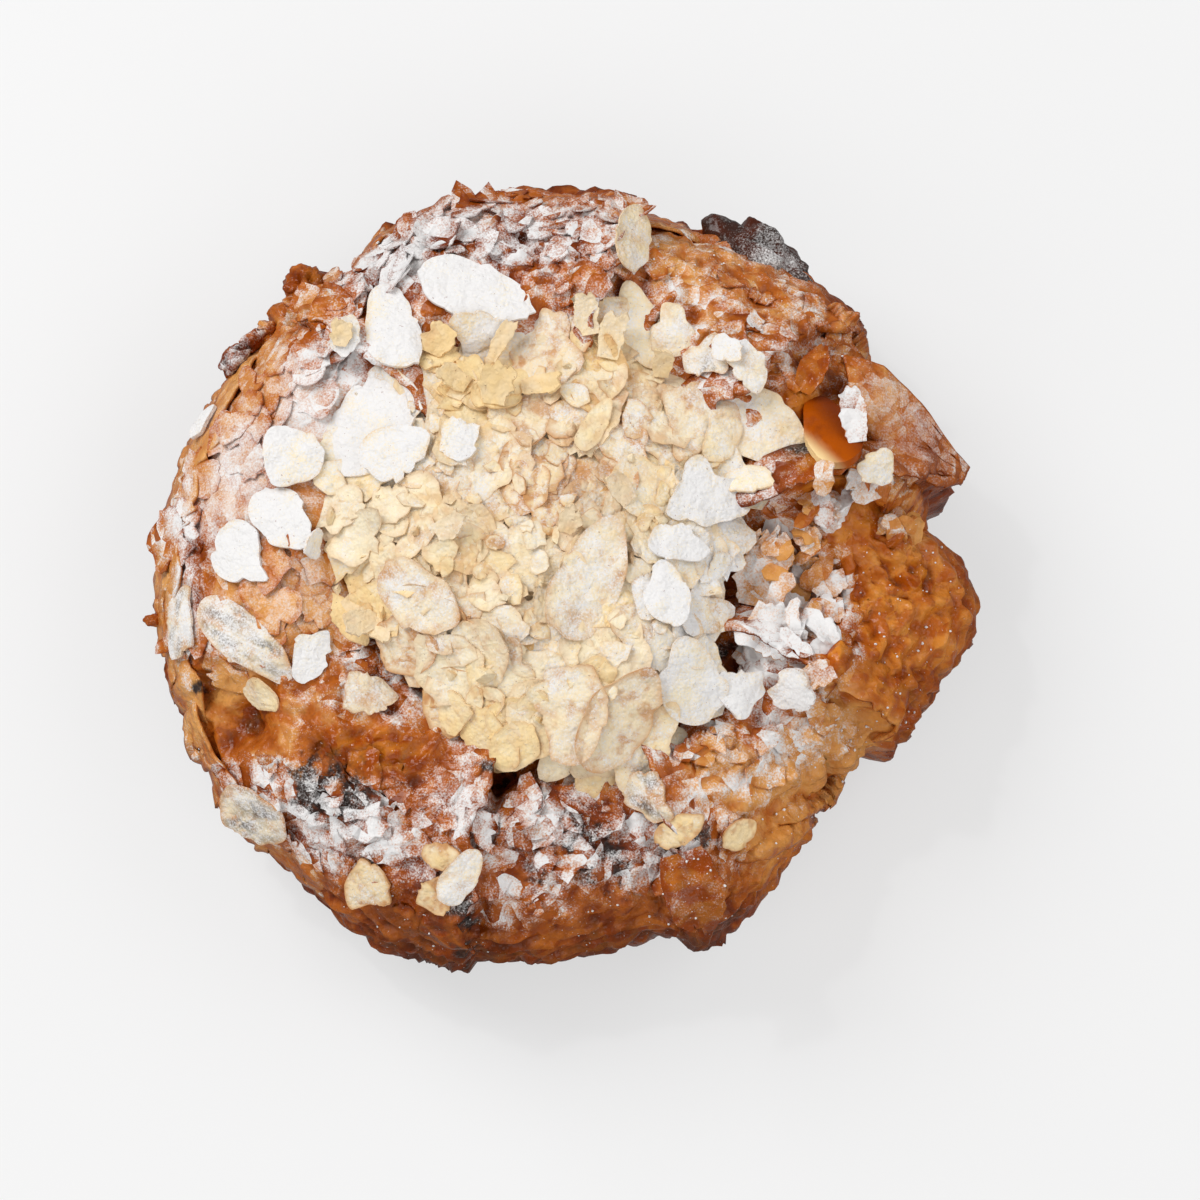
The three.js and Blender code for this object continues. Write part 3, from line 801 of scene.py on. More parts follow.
def ring_skin(angle, section, sizes):
    """Points of the pastry's skin and the masks that its crust is coloured by."""
    skin = Skin(angle, section, sizes)
    bare = skin.lifted(0)
    x, y = bare[:, 0], bare[:, 1]
    underside = 1 - fade(skin.up, -0.2, 0.2)
    shown = fade(bare[:, 2], 1, 8) * np.maximum(fade(beyond_heap(x, y), -3, 2), underside)
    turns, edge_line = turn_relief(angle, section, bare)
    crags, crease = crust_relief(bare, skin.upward)
    lift = shown * (turns + crags)
    top = fade(skin.upward, 0.2, 0.7)
    hollow = np.zeros(len(angle))
    for dent_x, dent_y, radius, depth in DENTS:
        share = bell(np.hypot(x - dent_x, y - dent_y), radius)
        lift = lift - top * depth * share
        hollow = np.maximum(hollow, share * min(depth / 6, 1))
    points = skin.lifted(lift)
    masks = crust_masks(points, skin.up, crease, edge_line, hollow)
    masks["sugar"] = masks["sugar"] * (1 - 0.35 * on_plan(x, y, FLAKY_PLACES))
    return points, masks


def crust_masks(points, up, crease, edge_line, hollow):
    """Sugar, bake and shade, burn, amber and calm at points of the crust, each from 0 to 1. Bake and shade is
    the crust's bake, with painted shade added in creases and dents and, partly, on walls that face sideways or
    down.
    """
    x, y = points[:, 0], points[:, 1]
    patches = NOISE.layered(points / 9 + 40, 3)
    dusted = np.maximum(on_plan(x, y, SUGAR_PLACES), 0.3 * (1 - on_plan(x, y, BARE_PLACES)))
    sugar = dusted * (1 + 0.22 * patches) * fade(up, 0.2, 0.7) - 0.12 * crease - 0.4 * hollow
    bake = 0.36 + 0.16 * NOISE.layered(points / 15 + 20, 2) + 0.12 * NOISE(points / 3.5)
    gold = on_plan(x, y, GOLD_PLACES) * (0.3 + 0.7 * fade(up, -0.1, 0.5))
    # Creases and dents are painted darker as shade. Walls that face sideways or down are darker, partly by a
    # deeper bake and partly as painted shade. The crust also grows darker towards the tray.
    bake = bake + on_plan(x, y, BROWN_PLACES) - gold + 0.3 * crease + 0.12 * edge_line
    bake = bake + 0.28 * (1 - fade(up, 0.1, 0.75)) + 0.12 * (1 - fade(points[:, 2], 2, 12)) + 0.3 * hollow
    burn = on_plan(x, y, BURNT_PLACES) * fade(up, -0.4, 0.1)
    burn = burn * fade(0.5 + NOISE.layered(points / 5 + 9, 2), 0.1, 0.6)
    amber = on_plan(x, y, AMBER_PLACES) * fade(up, -0.3, 0.3) * (1 - 0.6 * crease)
    calm = on_plan(x, y, CALM_PLACES)
    masks = {"sugar": sugar - 0.3 * amber, "bake": bake, "burn": burn, "amber": amber, "calm": calm}
    return {name: np.clip(mask, 0, 1) for name, mask in masks.items()}


# Meshes


def to_frame(points):
    """Metres in the part's frame from millimetres about the ring's centre."""
    moved = np.asarray(points, dtype=float) + (*RING_CENTRE, 0.0)
    return moved * MM


def set_points(mesh, points):
    mesh.vertices.foreach_set("co", to_frame(points).astype(np.float32).ravel())
    mesh.update()


def get_points(mesh):
    flat = np.empty(len(mesh.vertices) * 3, dtype=np.float32)
    mesh.vertices.foreach_get("co", flat)
    return flat.reshape(-1, 3).astype(float)


def set_masks(mesh, masks):
    for name, values in masks.items():
        attribute = mesh.attributes.new(name, "FLOAT", "POINT")
        attribute.data.foreach_set("value", np.asarray(values, dtype=np.float32))


def add_piece(name, mesh, material, node, crisp_angle=None):
    """Links a finished mesh as a piece that rides on the part and stands for one of its nodes."""
    piece = bpy.data.objects.new(name, mesh)
    bpy.context.scene.collection.objects.link(piece)
    mesh.materials.clear()
    mesh.materials.append(material)
    mesh.shade_smooth()
    if crisp_angle is not None:
        mesh.set_sharp_from_angle(angle=math.radians(crisp_angle))
    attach(piece, BODY)
    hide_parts(node)


def add_crust_piece(name, mesh, context, crisp_angle=None):
    material = shared_material("baked_crust", crust_material, context)
    add_piece(name, mesh, material, RING_NODE, crisp_angle)


def add_almond_piece(name, mesh, node, context, crisp_angle=FLAKE_CRISP):
    material = shared_material("flaked_almond", almond_material, context)
    add_piece(name, mesh, material, node, crisp_angle)


def finished_mesh(name, bm):
    mesh = bpy.data.meshes.new(name)
    bm.to_mesh(mesh)
    bm.free()
    return mesh


def read_faces(bm):
    """Points and faces of a bmesh, which is freed."""
    bm.verts.index_update()
    points = np.array([vertex.co for vertex in bm.verts])
    faces = [[vertex.index for vertex in face.verts] for face in bm.faces]
    bm.free()
    return points, faces


def read_sheet(bm):
    """Points and faces of a bmesh, which is freed, and how far each point looks up."""
    bmesh.ops.recalc_face_normals(bm, faces=bm.faces)
    bm.normal_update()
    up = np.array([vertex.normal.z for vertex in bm.verts])
    return *read_faces(bm), up


def ring_mesh(name, along, around, big_radius):
    """Closed ring of unit section, wrapped from a grid."""
    bm = bmesh.new()
    bmesh.ops.create_grid(bm, x_segments=along, y_segments=around, size=1.0)
    for vertex in bm.verts:
        turn, even = math.pi * vertex.co.x, math.pi * vertex.co.y
        reach = big_radius + math.cos(even)
        vertex.co = (reach * math.cos(turn), reach * math.sin(turn), math.sin(even))
    bmesh.ops.remove_doubles(bm, verts=bm.verts, dist=1e-5)
    bmesh.ops.recalc_face_normals(bm, faces=bm.faces)
    return finished_mesh(name, bm)


def ball_mesh(name, around, down):
    bm = bmesh.new()
    bmesh.ops.create_uvsphere(bm, u_segments=around, v_segments=down, radius=1.0)
    return finished_mesh(name, bm)


def ball_template(subdivisions):
    """Points and faces of a ball of even triangles."""
    bm = bmesh.new()
    bmesh.ops.create_icosphere(bm, subdivisions=subdivisions, radius=1.0)
    return read_faces(bm)


def sheet(along, across, place, thickness, is_whole=None):
    """Sheet of dough: a grid whose points are put in place by a function, then thickened.

    It is torn where the other function says that it isn't whole. Gives its points, its faces and how far each
    point looks up.
    """
    bm = bmesh.new()
    bmesh.ops.create_grid(bm, x_segments=along, y_segments=across, size=1.0)
    if is_whole is not None:
        middles = np.array([face.calc_center_median() for face in bm.faces])
        whole = is_whole((middles[:, 0] + 1) / 2, (middles[:, 1] + 1) / 2)
        torn = [face for face, stays in zip(bm.faces, whole) if not stays]
        bmesh.ops.delete(bm, geom=torn, context="FACES")
    flat = np.array([vertex.co for vertex in bm.verts])
    for vertex, point in zip(bm.verts, place((flat[:, 0] + 1) / 2, (flat[:, 1] + 1) / 2)):
        vertex.co = point
    bmesh.ops.recalc_face_normals(bm, faces=bm.faces)
    if sum(face.normal.z * face.calc_area() for face in bm.faces) < 0:
        bmesh.ops.reverse_faces(bm, faces=bm.faces)
    bm.normal_update()
    ways = {vertex.co.copy().freeze(): vertex.normal * thickness for vertex in bm.verts}
    raised = bmesh.ops.extrude_face_region(bm, geom=bm.faces[:], use_keep_orig=True)["geom"]
    for vertex in (part for part in raised if isinstance(part, bmesh.types.BMVert)):
        vertex.co += ways[vertex.co.copy().freeze()]
    return read_sheet(bm)


def along_line(line, share):
    """Points at shares of the way along a line of plan points."""
    line = np.array(line, dtype=float)
    steps = np.hypot(*np.diff(line, axis=0).T)
    reach = np.concatenate([[0], np.cumsum(steps)]) / steps.sum()
    return np.interp(share, reach, line[:, 0]), np.interp(share, reach, line[:, 1])


class Worktop:
    """Height of all that is laid so far, seen from above, on a square grid about the ring's centre."""

    half_size = 82.0
    step = 0.6
    ray_start = 0.1
    probe_count = 40
    probe_share = 0.45
    deepest_rest = 7

    def __init__(self):
        self.count = int(2 * self.half_size / self.step) + 1
        self.heights = np.zeros((self.count, self.count))
        numbers = np.arange(self.probe_count)
        spread = np.sqrt((numbers + 0.5) / self.probe_count)
        self.probe = columns(*round_plan(spread, numbers * GOLDEN_ANGLE))

    def lay_mesh(self, mesh):
        """Raises the heights to a mesh's upper side."""
        tree = BVHTree.FromPolygons([v.co for v in mesh.vertices], [p.vertices for p in mesh.polygons])
        points = get_points(mesh) / MM - (*RING_CENTRE, 0.0)
        low = np.floor((points.min(axis=0) + self.half_size) / self.step).astype(int)
        high = np.ceil((points.max(axis=0) + self.half_size) / self.step).astype(int)
        down = Vector((0, 0, -1))
        for row in range(max(low[1], 0), min(high[1] + 1, self.count)):
            y = (row * self.step - self.half_size + RING_CENTRE[1]) * MM
            for column in range(max(low[0], 0), min(high[0] + 1, self.count)):
                x = (column * self.step - self.half_size + RING_CENTRE[0]) * MM
                hit = tree.ray_cast((x, y, self.ray_start), down)[0]
                if hit is not None:
                    self.heights[row, column] = max(self.heights[row, column], hit.z / MM)

    def nearest(self, value):
        """Row or column of the grid that is nearest to a plan coordinate."""
        return np.clip(np.rint((value + self.half_size) / self.step).astype(int), 0, self.count - 1)

    def at(self, x, y):
        return self.heights[self.nearest(y), self.nearest(x)]

    def rest(self, x, y, turn, length, width, slope_limit, settle=0.75):
        """Height and slopes of the plane on which a plate comes to rest."""
        probe = self.probe * (length, width) * self.probe_share
        dx, dy = turned(probe[:, 0], probe[:, 1], turn)
        heights = self.at(x + dx, y + dy)
        is_near = heights > heights.max() - self.deepest_rest
        table = columns(1.0, dx, dy)
        _, slope_x, slope_y = np.linalg.lstsq(table[is_near], heights[is_near], rcond=None)[0]
        steepness = math.hypot(slope_x, slope_y)
        if steepness > slope_limit:
            slope_x, slope_y = slope_x * slope_limit / steepness, slope_y * slope_limit / steepness
        gaps = (heights - slope_x * dx - slope_y * dy)[is_near]
        return float(np.quantile(gaps, settle)), float(slope_x), float(slope_y)

    def raise_plate(self, plate, level, slope_x, slope_y):
        """Adds a plate's upper side to the heights."""
        reach = plate.reach()
        low_column = max(int((plate.x - reach + self.half_size) / self.step), 0)
        low_row = max(int((plate.y - reach + self.half_size) / self.step), 0)
        span = int(2 * reach / self.step) + 2
        across = np.arange(low_column, min(low_column + span, self.count))
        down = np.arange(low_row, min(low_row + span, self.count))
        if not len(across) or not len(down):
            return
        dx, dy = np.meshgrid(
            across * self.step - self.half_size - plate.x, down * self.step - self.half_size - plate.y
        )
        tops = level + slope_x * dx + slope_y * dy + plate.thickness
        patch = self.heights[down[0] : down[-1] + 1, across[0] : across[-1] + 1]
        np.copyto(patch, np.maximum(patch, tops), where=plate.covers(dx, dy))


WORKTOP = Worktop()


def plate_template(around, rings):
    """Unit plate made from a ball: angle, share of the outline, upper (1) or lower (-1) side, and faces."""
    bm = bmesh.new()
    bands = 2 * rings + 1
    bmesh.ops.create_uvsphere(bm, u_segments=around, v_segments=bands, radius=1.0)
    points, faces = read_faces(bm)
    angle = np.arctan2(points[:, 1], points[:, 0])
    band = np.rint(np.arccos(np.clip(points[:, 2], -1, 1)) / math.pi * bands)
    share = (np.minimum(band, bands - band) / rings) ** 0.4
    return angle, share, np.where(band <= rings, 1.0, -1.0), faces


LARGE_PLATE = plate_template(72, 5)
MEDIUM_PLATE = plate_template(28, 2)
SMALL_PLATE = plate_template(14, 2)
OUTLINE_ANGLES = np.radians(np.arange(0, 360, 4))


class Plate:
    """A thin plate with an irregular outline: an almond flake or a loose piece of crust."""

    egg_shape = 0.22
    nick_count = 24

    def __init__(self, x, y, length, width, turn, thickness, random):
        self.x, self.y, self.turn, self.thickness = x, y, math.radians(turn), thickness
        self.length, self.width = length, width
        self.random = random
        along = np.cos(OUTLINE_ANGLES) * length / 2
        across = np.sin(OUTLINE_ANGLES) * width / 2 * (1 - self.egg_shape * np.cos(OUTLINE_ANGLES))
        self.outline = self.by_angle(along, across)

    @staticmethod
    def by_angle(along, across):
        angle = np.unwrap(np.arctan2(across, along))
        return np.interp(OUTLINE_ANGLES, angle - angle[0], np.hypot(along, across), period=2 * math.pi)

    def break_at(self, direction, distance):
        """Breaks the plate along a straight line at a distance from its middle."""
        facing = np.cos(OUTLINE_ANGLES - direction)
        limit = np.where(facing > 0.08, distance / np.maximum(facing, 0.08), np.inf)
        self.outline = np.minimum(self.outline, limit)

    def roughen(self, amount):
        """Makes the outline uneven, with long waves and a ragged, nicked edge."""
        waves = np.zeros(len(OUTLINE_ANGLES))
        for count in (2, 3, 4, 6):
            phase = self.random.random() * 2 * math.pi
            waves += self.random.normal() * np.sin(count * OUTLINE_ANGLES + phase) / count**0.7
        corners = np.sort(self.random.random(self.nick_count)) * 2 * math.pi
        depths = self.random.normal(size=self.nick_count)
        nicks = np.interp(OUTLINE_ANGLES, corners, depths, period=2 * math.pi)
        self.outline = self.outline * np.clip(1 + amount * (0.8 * waves + 0.7 * nicks), 0.5, 1.35)

    def reach(self):
        return float(self.outline.max()) + 1

    def covers(self, dx, dy):
        angle = (np.arctan2(dy, dx) - self.turn) % (2 * math.pi)
        limit = np.interp(angle, OUTLINE_ANGLES, self.outline, period=2 * math.pi)
        return np.hypot(dx, dy) < limit

    def from_middle(self, points):
        """How far points lie from the plate's middle on the plan, along it and across it."""
        offset = points[:, :2] - (self.x, self.y)
        cosine, sine = math.cos(self.turn), math.sin(self.turn)
        return offset @ (cosine, sine), offset @ (-sine, cosine)

    def lay(self, template, bend=0.0, lean=0.0, slope_limit=0.5, settle=0.75, wave=0.15):
        """Rests the plate on the worktop. Gives its points, faces and nearness to its own edge."""
        angle, share, side, faces = template
        level_at, slope_x, slope_y = WORKTOP.rest(
            self.x, self.y, self.turn, self.length, self.width, slope_limit, settle
        )
        radius = np.interp(angle % (2 * math.pi), OUTLINE_ANGLES, self.outline, period=2 * math.pi)
        u, v = share * radius * np.cos(angle), share * radius * np.sin(angle)
        bend_turn = self.random.random() * math.pi
        fold = u * math.cos(bend_turn) + v * math.sin(bend_turn)
        w = side * self.thickness * (0.5 - 0.2 * share) + self.thickness / 2 + bend * fold**2
        seed = self.random.random(3) * 90
        w = w + wave * NOISE(columns(u / 4, v / 4, 0) + seed)
        lean_turn = self.random.random() * 2 * math.pi
        slope_x += math.tan(lean) * math.cos(lean_turn)
        slope_y += math.tan(lean) * math.sin(lean_turn)
        normal = np.array([-slope_x, -slope_y, 1.0])
        normal /= np.linalg.norm(normal)
        first = np.array([math.cos(self.turn), math.sin(self.turn), 0.0])
        first -= normal * (first @ normal)
        first /= np.linalg.norm(first)
        second = np.cross(normal, first)
        points = np.outer(u, first) + np.outer(v, second) + np.outer(w, normal)
        points = points + (self.x, self.y, level_at)
        WORKTOP.raise_plate(self, level_at, slope_x, slope_y)
        return points, faces, share**2


class Pile:
    """Many small things gathered into one mesh, with a value of each mask at every point."""

    def __init__(self):
        self.points, self.faces, self.masks, self.count = [], [], {}, 0

    def add(self, points, faces, **masks):
        self.points.append(points)
        self.faces.extend([corner + self.count for corner in face] for face in faces)
        for name, value in masks.items():
            self.masks.setdefault(name, []).append(np.broadcast_to(value, len(points)))
        self.count += len(points)

    def mesh(self, name):
        mesh = bpy.data.meshes.new(name)
        mesh.from_pydata(to_frame(np.concatenate(self.points)).tolist(), [], self.faces)
        set_masks(mesh, {mask: np.concatenate(values) for mask, values in self.masks.items()})
        return mesh


# Materials


class Tree:
    """Short way to add and join the nodes of one tree."""

    def __init__(self, tree):
        self.nodes, self.links = tree.nodes, tree.links
        self.nodes.clear()

    def add(self, kind, inputs=None, **settings):
        node = self.nodes.new(kind)
        for name, value in settings.items():
            setattr(node, name, value)
        for name, value in (inputs or {}).items():
            self.put(node.inputs[name], value)
        return node

    def put(self, socket, value):
        if isinstance(value, bpy.types.NodeSocket):
            self.links.new(value, socket)
        else:
            socket.default_value = value

    def math(self, operation, first, second=0.0, third=0.0, is_clamped=False):
        inputs = {0: first, 1: second, 2: third}
        return self.add("ShaderNodeMath", inputs, operation=operation, use_clamp=is_clamped).outputs[0]

    def vector(self, operation, first, second, third=(0.0, 0.0, 0.0)):
        inputs = {0: first, 1: second, 2: third}
        return self.add("ShaderNodeVectorMath", inputs, operation=operation).outputs[0]

    def ranged(self, value, low, high, to_low=0.0, to_high=1.0):
        inputs = {"Value": value, "From Min": low, "From Max": high, "To Min": to_low, "To Max": to_high}
        return self.add("ShaderNodeMapRange", inputs, interpolation_type="SMOOTHSTEP").outputs[0]

    def mixed(self, share, first, second, blend="MIX"):
        inputs = {0: share, 6: first, 7: second}
        return self.add("ShaderNodeMix", inputs, data_type="RGBA", blend_type=blend).outputs[2]

    def mask(self, name):
        return self.add("ShaderNodeAttribute", attribute_name=name).outputs["Fac"]

    def noise(self, place, size, detail=3.0, roughness=0.55):
        inputs = {"Vector": place, "Scale": 1 / (size * MM), "Detail": detail, "Roughness": roughness}
        return self.add("ShaderNodeTexNoise", inputs).outputs["Fac"]

    def bump(self, height, distance, strength):
        inputs = {"Height": height, "Distance": distance * MM, "Strength": strength}
        return self.add("ShaderNodeBump", inputs).outputs["Normal"]


def new_group(name, inputs, outputs):
    """Empty shader node group with named sockets. Gives the group, its tree, and its two ends."""
    group = bpy.data.node_groups.new(name, "ShaderNodeTree")
    for socket, kind in inputs.items():
        group.interface.new_socket(name=socket, in_out="INPUT", socket_type=kind)
    for socket, kind in outputs.items():
        group.interface.new_socket(name=socket, in_out="OUTPUT", socket_type=kind)
    tree = Tree(group)
    return group, tree, tree.add("NodeGroupInput").outputs, tree.add("NodeGroupOutput").inputs


def sugar_group():
    """Icing sugar that settles in grains. Amount is how much fell there, and Clouds how uneven it lies."""
    kinds = {"Position": "NodeSocketVector", "Amount": "NodeSocketFloat", "Clouds": "NodeSocketFloat"}
    group, tree, given, result = new_group("Icing sugar", kinds, {"Mask": "NodeSocketFloat"})
    clouds = tree.noise(given["Position"], 3.0, 2.0, 0.65)
    grains = tree.noise(given["Position"], 0.34, 1.0, 0.7)
    level = tree.math("MULTIPLY_ADD", tree.math("SUBTRACT", clouds, 0.5), given["Clouds"], given["Amount"])
    graininess = tree.math("ADD", given["Clouds"], 0.5)
    level = tree.math("MULTIPLY_ADD", tree.math("SUBTRACT", grains, 0.5), graininess, level)
    dusted = tree.ranged(given["Amount"], 0.04, 0.2)
    tree.put(result["Mask"], tree.math("MULTIPLY", tree.ranged(level, 0.15, 0.95), dusted))
    return group


def wrinkle_group():
    """Winding wrinkles of a thin crust. Height is 1 on a wrinkle's crest and 0 in the grooves."""
    kinds = {"Position": "NodeSocketVector", "Size": "NodeSocketFloat"}
    group, tree, given, result = new_group("Crust wrinkles", kinds, {"Height": "NodeSocketFloat"})
    crests = []
    for share, sharpness in ((1.0, 3.6), (2.1, 3.2)):
        scale = tree.math("DIVIDE", share, given["Size"])
        inputs = {"Vector": given["Position"], "Scale": scale, "Detail": 0.0}
        noise = tree.add("ShaderNodeTexNoise", inputs).outputs["Fac"]
        off = tree.math("ABSOLUTE", tree.math("SUBTRACT", noise, 0.5))
        crests.append(tree.math("MULTIPLY_ADD", off, -sharpness, 1.0, is_clamped=True))
    small = tree.math("MULTIPLY", crests[1], 0.35)
    tree.put(result["Height"], tree.math("MULTIPLY_ADD", crests[0], 0.65, small))
    return group


def leaves_group():
    """Crumpled leaves of thin crust, like shingles. Height runs from a leaf's low side to its free edge."""
    kinds = {"Position": "NodeSocketVector", "Size": "NodeSocketFloat"}
    group, tree, given, result = new_group("Crumpled leaves", kinds, {"Height": "NodeSocketFloat"})
    scale = tree.math("DIVIDE", 1.0, given["Size"])
    inputs = {"Vector": given["Position"], "Scale": tree.math("MULTIPLY", scale, 0.55), "Detail": 0.0}
    drift = tree.add("ShaderNodeTexNoise", inputs).outputs["Color"]
    drift = tree.vector("MULTIPLY_ADD", drift, given["Size"], given["Position"])
    drift = tree.vector("SUBTRACT", drift, given["Position"])
    drift = tree.vector("MULTIPLY_ADD", drift, (1.7, 1.7, 1.7), given["Position"])
    cells = tree.add("ShaderNodeTexVoronoi", {"Vector": drift, "Scale": scale}, feature="F1").outputs
    away = tree.vector("SUBTRACT", drift, cells["Position"])
    slope = tree.vector("SUBTRACT", cells["Color"], (0.5, 0.5, 0.5))
    rise = tree.add("ShaderNodeVectorMath", {0: away, 1: slope}, operation="DOT_PRODUCT").outputs["Value"]
    tree.put(result["Height"], tree.math("MULTIPLY", tree.math("MULTIPLY", rise, scale), 2.4))
    return group


def shared_group(name):
    makers = {"Icing sugar": sugar_group, "Crust wrinkles": wrinkle_group, "Crumpled leaves": leaves_group}
    return bpy.data.node_groups.get(name) or makers[name]()


def place_group(tree, name, inputs):
    return tree.add("ShaderNodeGroup", inputs, node_tree=shared_group(name)).outputs


def new_material(name):
    material = bpy.data.materials.new(name)
    material.use_nodes = True
    tree = Tree(material.node_tree)
    shader = tree.add("ShaderNodeBsdfPrincipled")
    output = tree.add("ShaderNodeOutputMaterial")
    tree.links.new(shader.outputs[0], output.inputs[0])
    place = tree.add("ShaderNodeTexCoord").outputs["Object"]
    return material, tree, shader, place


def sugar_mask(tree, place, amount, clouds=0.8):
    inputs = {"Position": place, "Amount": amount, "Clouds": clouds}
    return place_group(tree, "Icing sugar", inputs)["Mask"]


def dress(tree, shader, colour, roughness, normal, specular):
    """Gives the shader its finish. A plain number is set on the shader's own socket."""
    finish = {"Base Color": colour, "Roughness": roughness, "Normal": normal, "Specular IOR Level": specular}
    for name, value in finish.items():
        tree.put(shader.inputs[name], value)


def crust_material(colours):
    """Baked crust: gold to dark brown by its bake and by painted shade in its grooves, creases and dents,
    burnt in places, under icing sugar. Its bare glossy parts are painted lighter on their crests.
    """
    material, tree, shader, place = new_material("baked_crust")
    dust, amber, calm = tree.mask("sugar"), tree.mask("amber"), tree.mask("calm")
    leaves = place_group(tree, "Crumpled leaves", {"Position": place, "Size": 3.6 * MM})["Height"]
    wrinkles = place_group(tree, "Crust wrinkles", {"Position": place, "Size": 4.4 * MM})["Height"]
    leaves = tree.math("MULTIPLY", leaves, tree.ranged(dust, 0.05, 0.35, 0.3, 1.0))
    relief = tree.math("MULTIPLY_ADD", tree.math("SUBTRACT", wrinkles, 0.5), 0.9, leaves)
    relief = tree.math("MULTIPLY", relief, tree.ranged(calm, 0.0, 1.0, 1.0, 0.3))
    mottle = tree.math("SUBTRACT", tree.noise(place, 1.6, 2.0), 0.5)
    # Grooves of the relief are painted darker and crests lighter: painted shade.
    bake = tree.math("MULTIPLY_ADD", relief, -0.24, tree.mask("bake"))
    bake = tree.math("MULTIPLY_ADD", mottle, 0.35, bake)
    ramp = tree.add("ShaderNodeValToRGB", {0: bake})
    tones = (colours.gold, colours.orange, colours.brown, colours.dark)
    stops = (0.08, 0.4, 0.72, 1.0)
    elements = ramp.color_ramp.elements
    while len(elements) < len(stops):
        elements.new(0.5)
    for element, stop, tone in zip(elements, stops, tones):
        element.position, element.color = stop, tone
    burn = tree.ranged(tree.math("MULTIPLY_ADD", mottle, 1.5, tree.mask("burn")), 0.2, 0.9)
    shine = tree.noise(place, 3.2, 1.0)
    # Bare glossy crust turns from caramel to the lighter amber on its crests and at random: the crest part is
    # painted light.
    lit = tree.ranged(tree.math("MULTIPLY_ADD", relief, 0.4, shine), 0.4, 0.66)
    painted_glow = tree.mixed(lit, colours.caramel, colours.amber)
    base = tree.mixed(amber, ramp.outputs[0], painted_glow)
    base = tree.mixed(burn, base, colours.burnt)
    caught = tree.math("MULTIPLY", relief, tree.ranged(dust, 0.0, 0.3, 0.0, 0.5))
    clouds = tree.ranged(calm, 0.0, 1.0, 0.8, 0.3)
    sugar = sugar_mask(tree, place, tree.math("ADD", dust, caught), clouds)
    specks = tree.ranged(tree.noise(place, 0.42, 1.0), 0.735, 0.78)
    white = tree.math("MAXIMUM", sugar, tree.math("MULTIPLY", specks, 0.6))
    colour = tree.mixed(white, base, colours.sugar)
    gloss = tree.math("MULTIPLY_ADD", amber, -0.1, tree.ranged(shine, 0.3, 0.7, 0.15, 0.34))
    roughness = tree.math("MULTIPLY_ADD", white, 0.5, gloss)
    height = tree.math("MULTIPLY_ADD", tree.noise(place, 0.9, 1.0), 0.4, relief)
    dress(tree, shader, colour, roughness, tree.bump(height, 0.8, 0.75), 0.24)
    return material


def almond_material(colours):
    """Almond flake: pale or oily yellow, tan at its edge, dusted with icing sugar. The tan edge is partly
    toasting and partly painted warm shade, for light through the thin edge and shade between flakes; the
    facets' low sides are painted darker as shade.
    """
    material, tree, shader, place = new_material("flaked_almond")
    grain = tree.noise(place, 2.2, 2.0, 0.62)
    facets = place_group(tree, "Crumpled leaves", {"Position": place, "Size": 2.2 * MM})["Height"]
    facets = tree.math("MULTIPLY", facets, tree.mask("rough"))
    # The facets' low sides are painted yellower here and more toasted below: painted shade.
    tint = tree.math("MULTIPLY_ADD", tree.math("SUBTRACT", grain, 0.5), 0.8, tree.mask("tint"))
    tint = tree.math("MULTIPLY_ADD", facets, -0.3, tint)
    base = tree.mixed(tree.ranged(tint, 0.0, 1.0), colours.almond, colours.yellow)
    # Every rim is at least partly tan: partly toasting, partly painted warm shade for light through the thin
    # edge and the shade between flakes.
    rim = tree.math("POWER", tree.mask("edge"), 2.8)
    smudge = tree.math("MULTIPLY_ADD", facets, -0.12, tree.noise(place, 3.5, 2.0, 0.65))
    browned_and_shaded = tree.math("MAXIMUM", rim, tree.ranged(smudge, 0.44, 0.66, 0.22, 1.0))
    toast = tree.math("MULTIPLY", tree.mask("toast"), browned_and_shaded)
    toast = tree.math("MAXIMUM", toast, tree.math("MULTIPLY", rim, 0.4))
    base = tree.mixed(tree.math("MULTIPLY", toast, 0.9), base, colours.toast_and_shade)
    streak = tree.math("MULTIPLY", tree.mask("char"), tree.ranged(grain, 0.3, 0.5))
    base = tree.mixed(streak, base, colours.charred)
    dust = tree.math("MULTIPLY_ADD", facets, 0.16, tree.mask("sugar"))
    sugar = sugar_mask(tree, place, dust)
    colour = tree.mixed(sugar, base, colours.sugar)
    specks = tree.math("MULTIPLY", tree.ranged(tree.noise(place, 0.5, 1.0), 0.73, 0.77), 0.45)
    colour = tree.mixed(specks, colour, colours.brown)
    roughness = tree.math("MULTIPLY_ADD", sugar, 0.35, 0.45)
    height = tree.math("MULTIPLY_ADD", tree.noise(place, 0.7, 1.0), 0.35, grain)
    height = tree.math("MULTIPLY_ADD", facets, 0.6, height)
    dress(tree, shader, colour, roughness, tree.bump(height, 0.7, 0.8), 0.3)
    return material


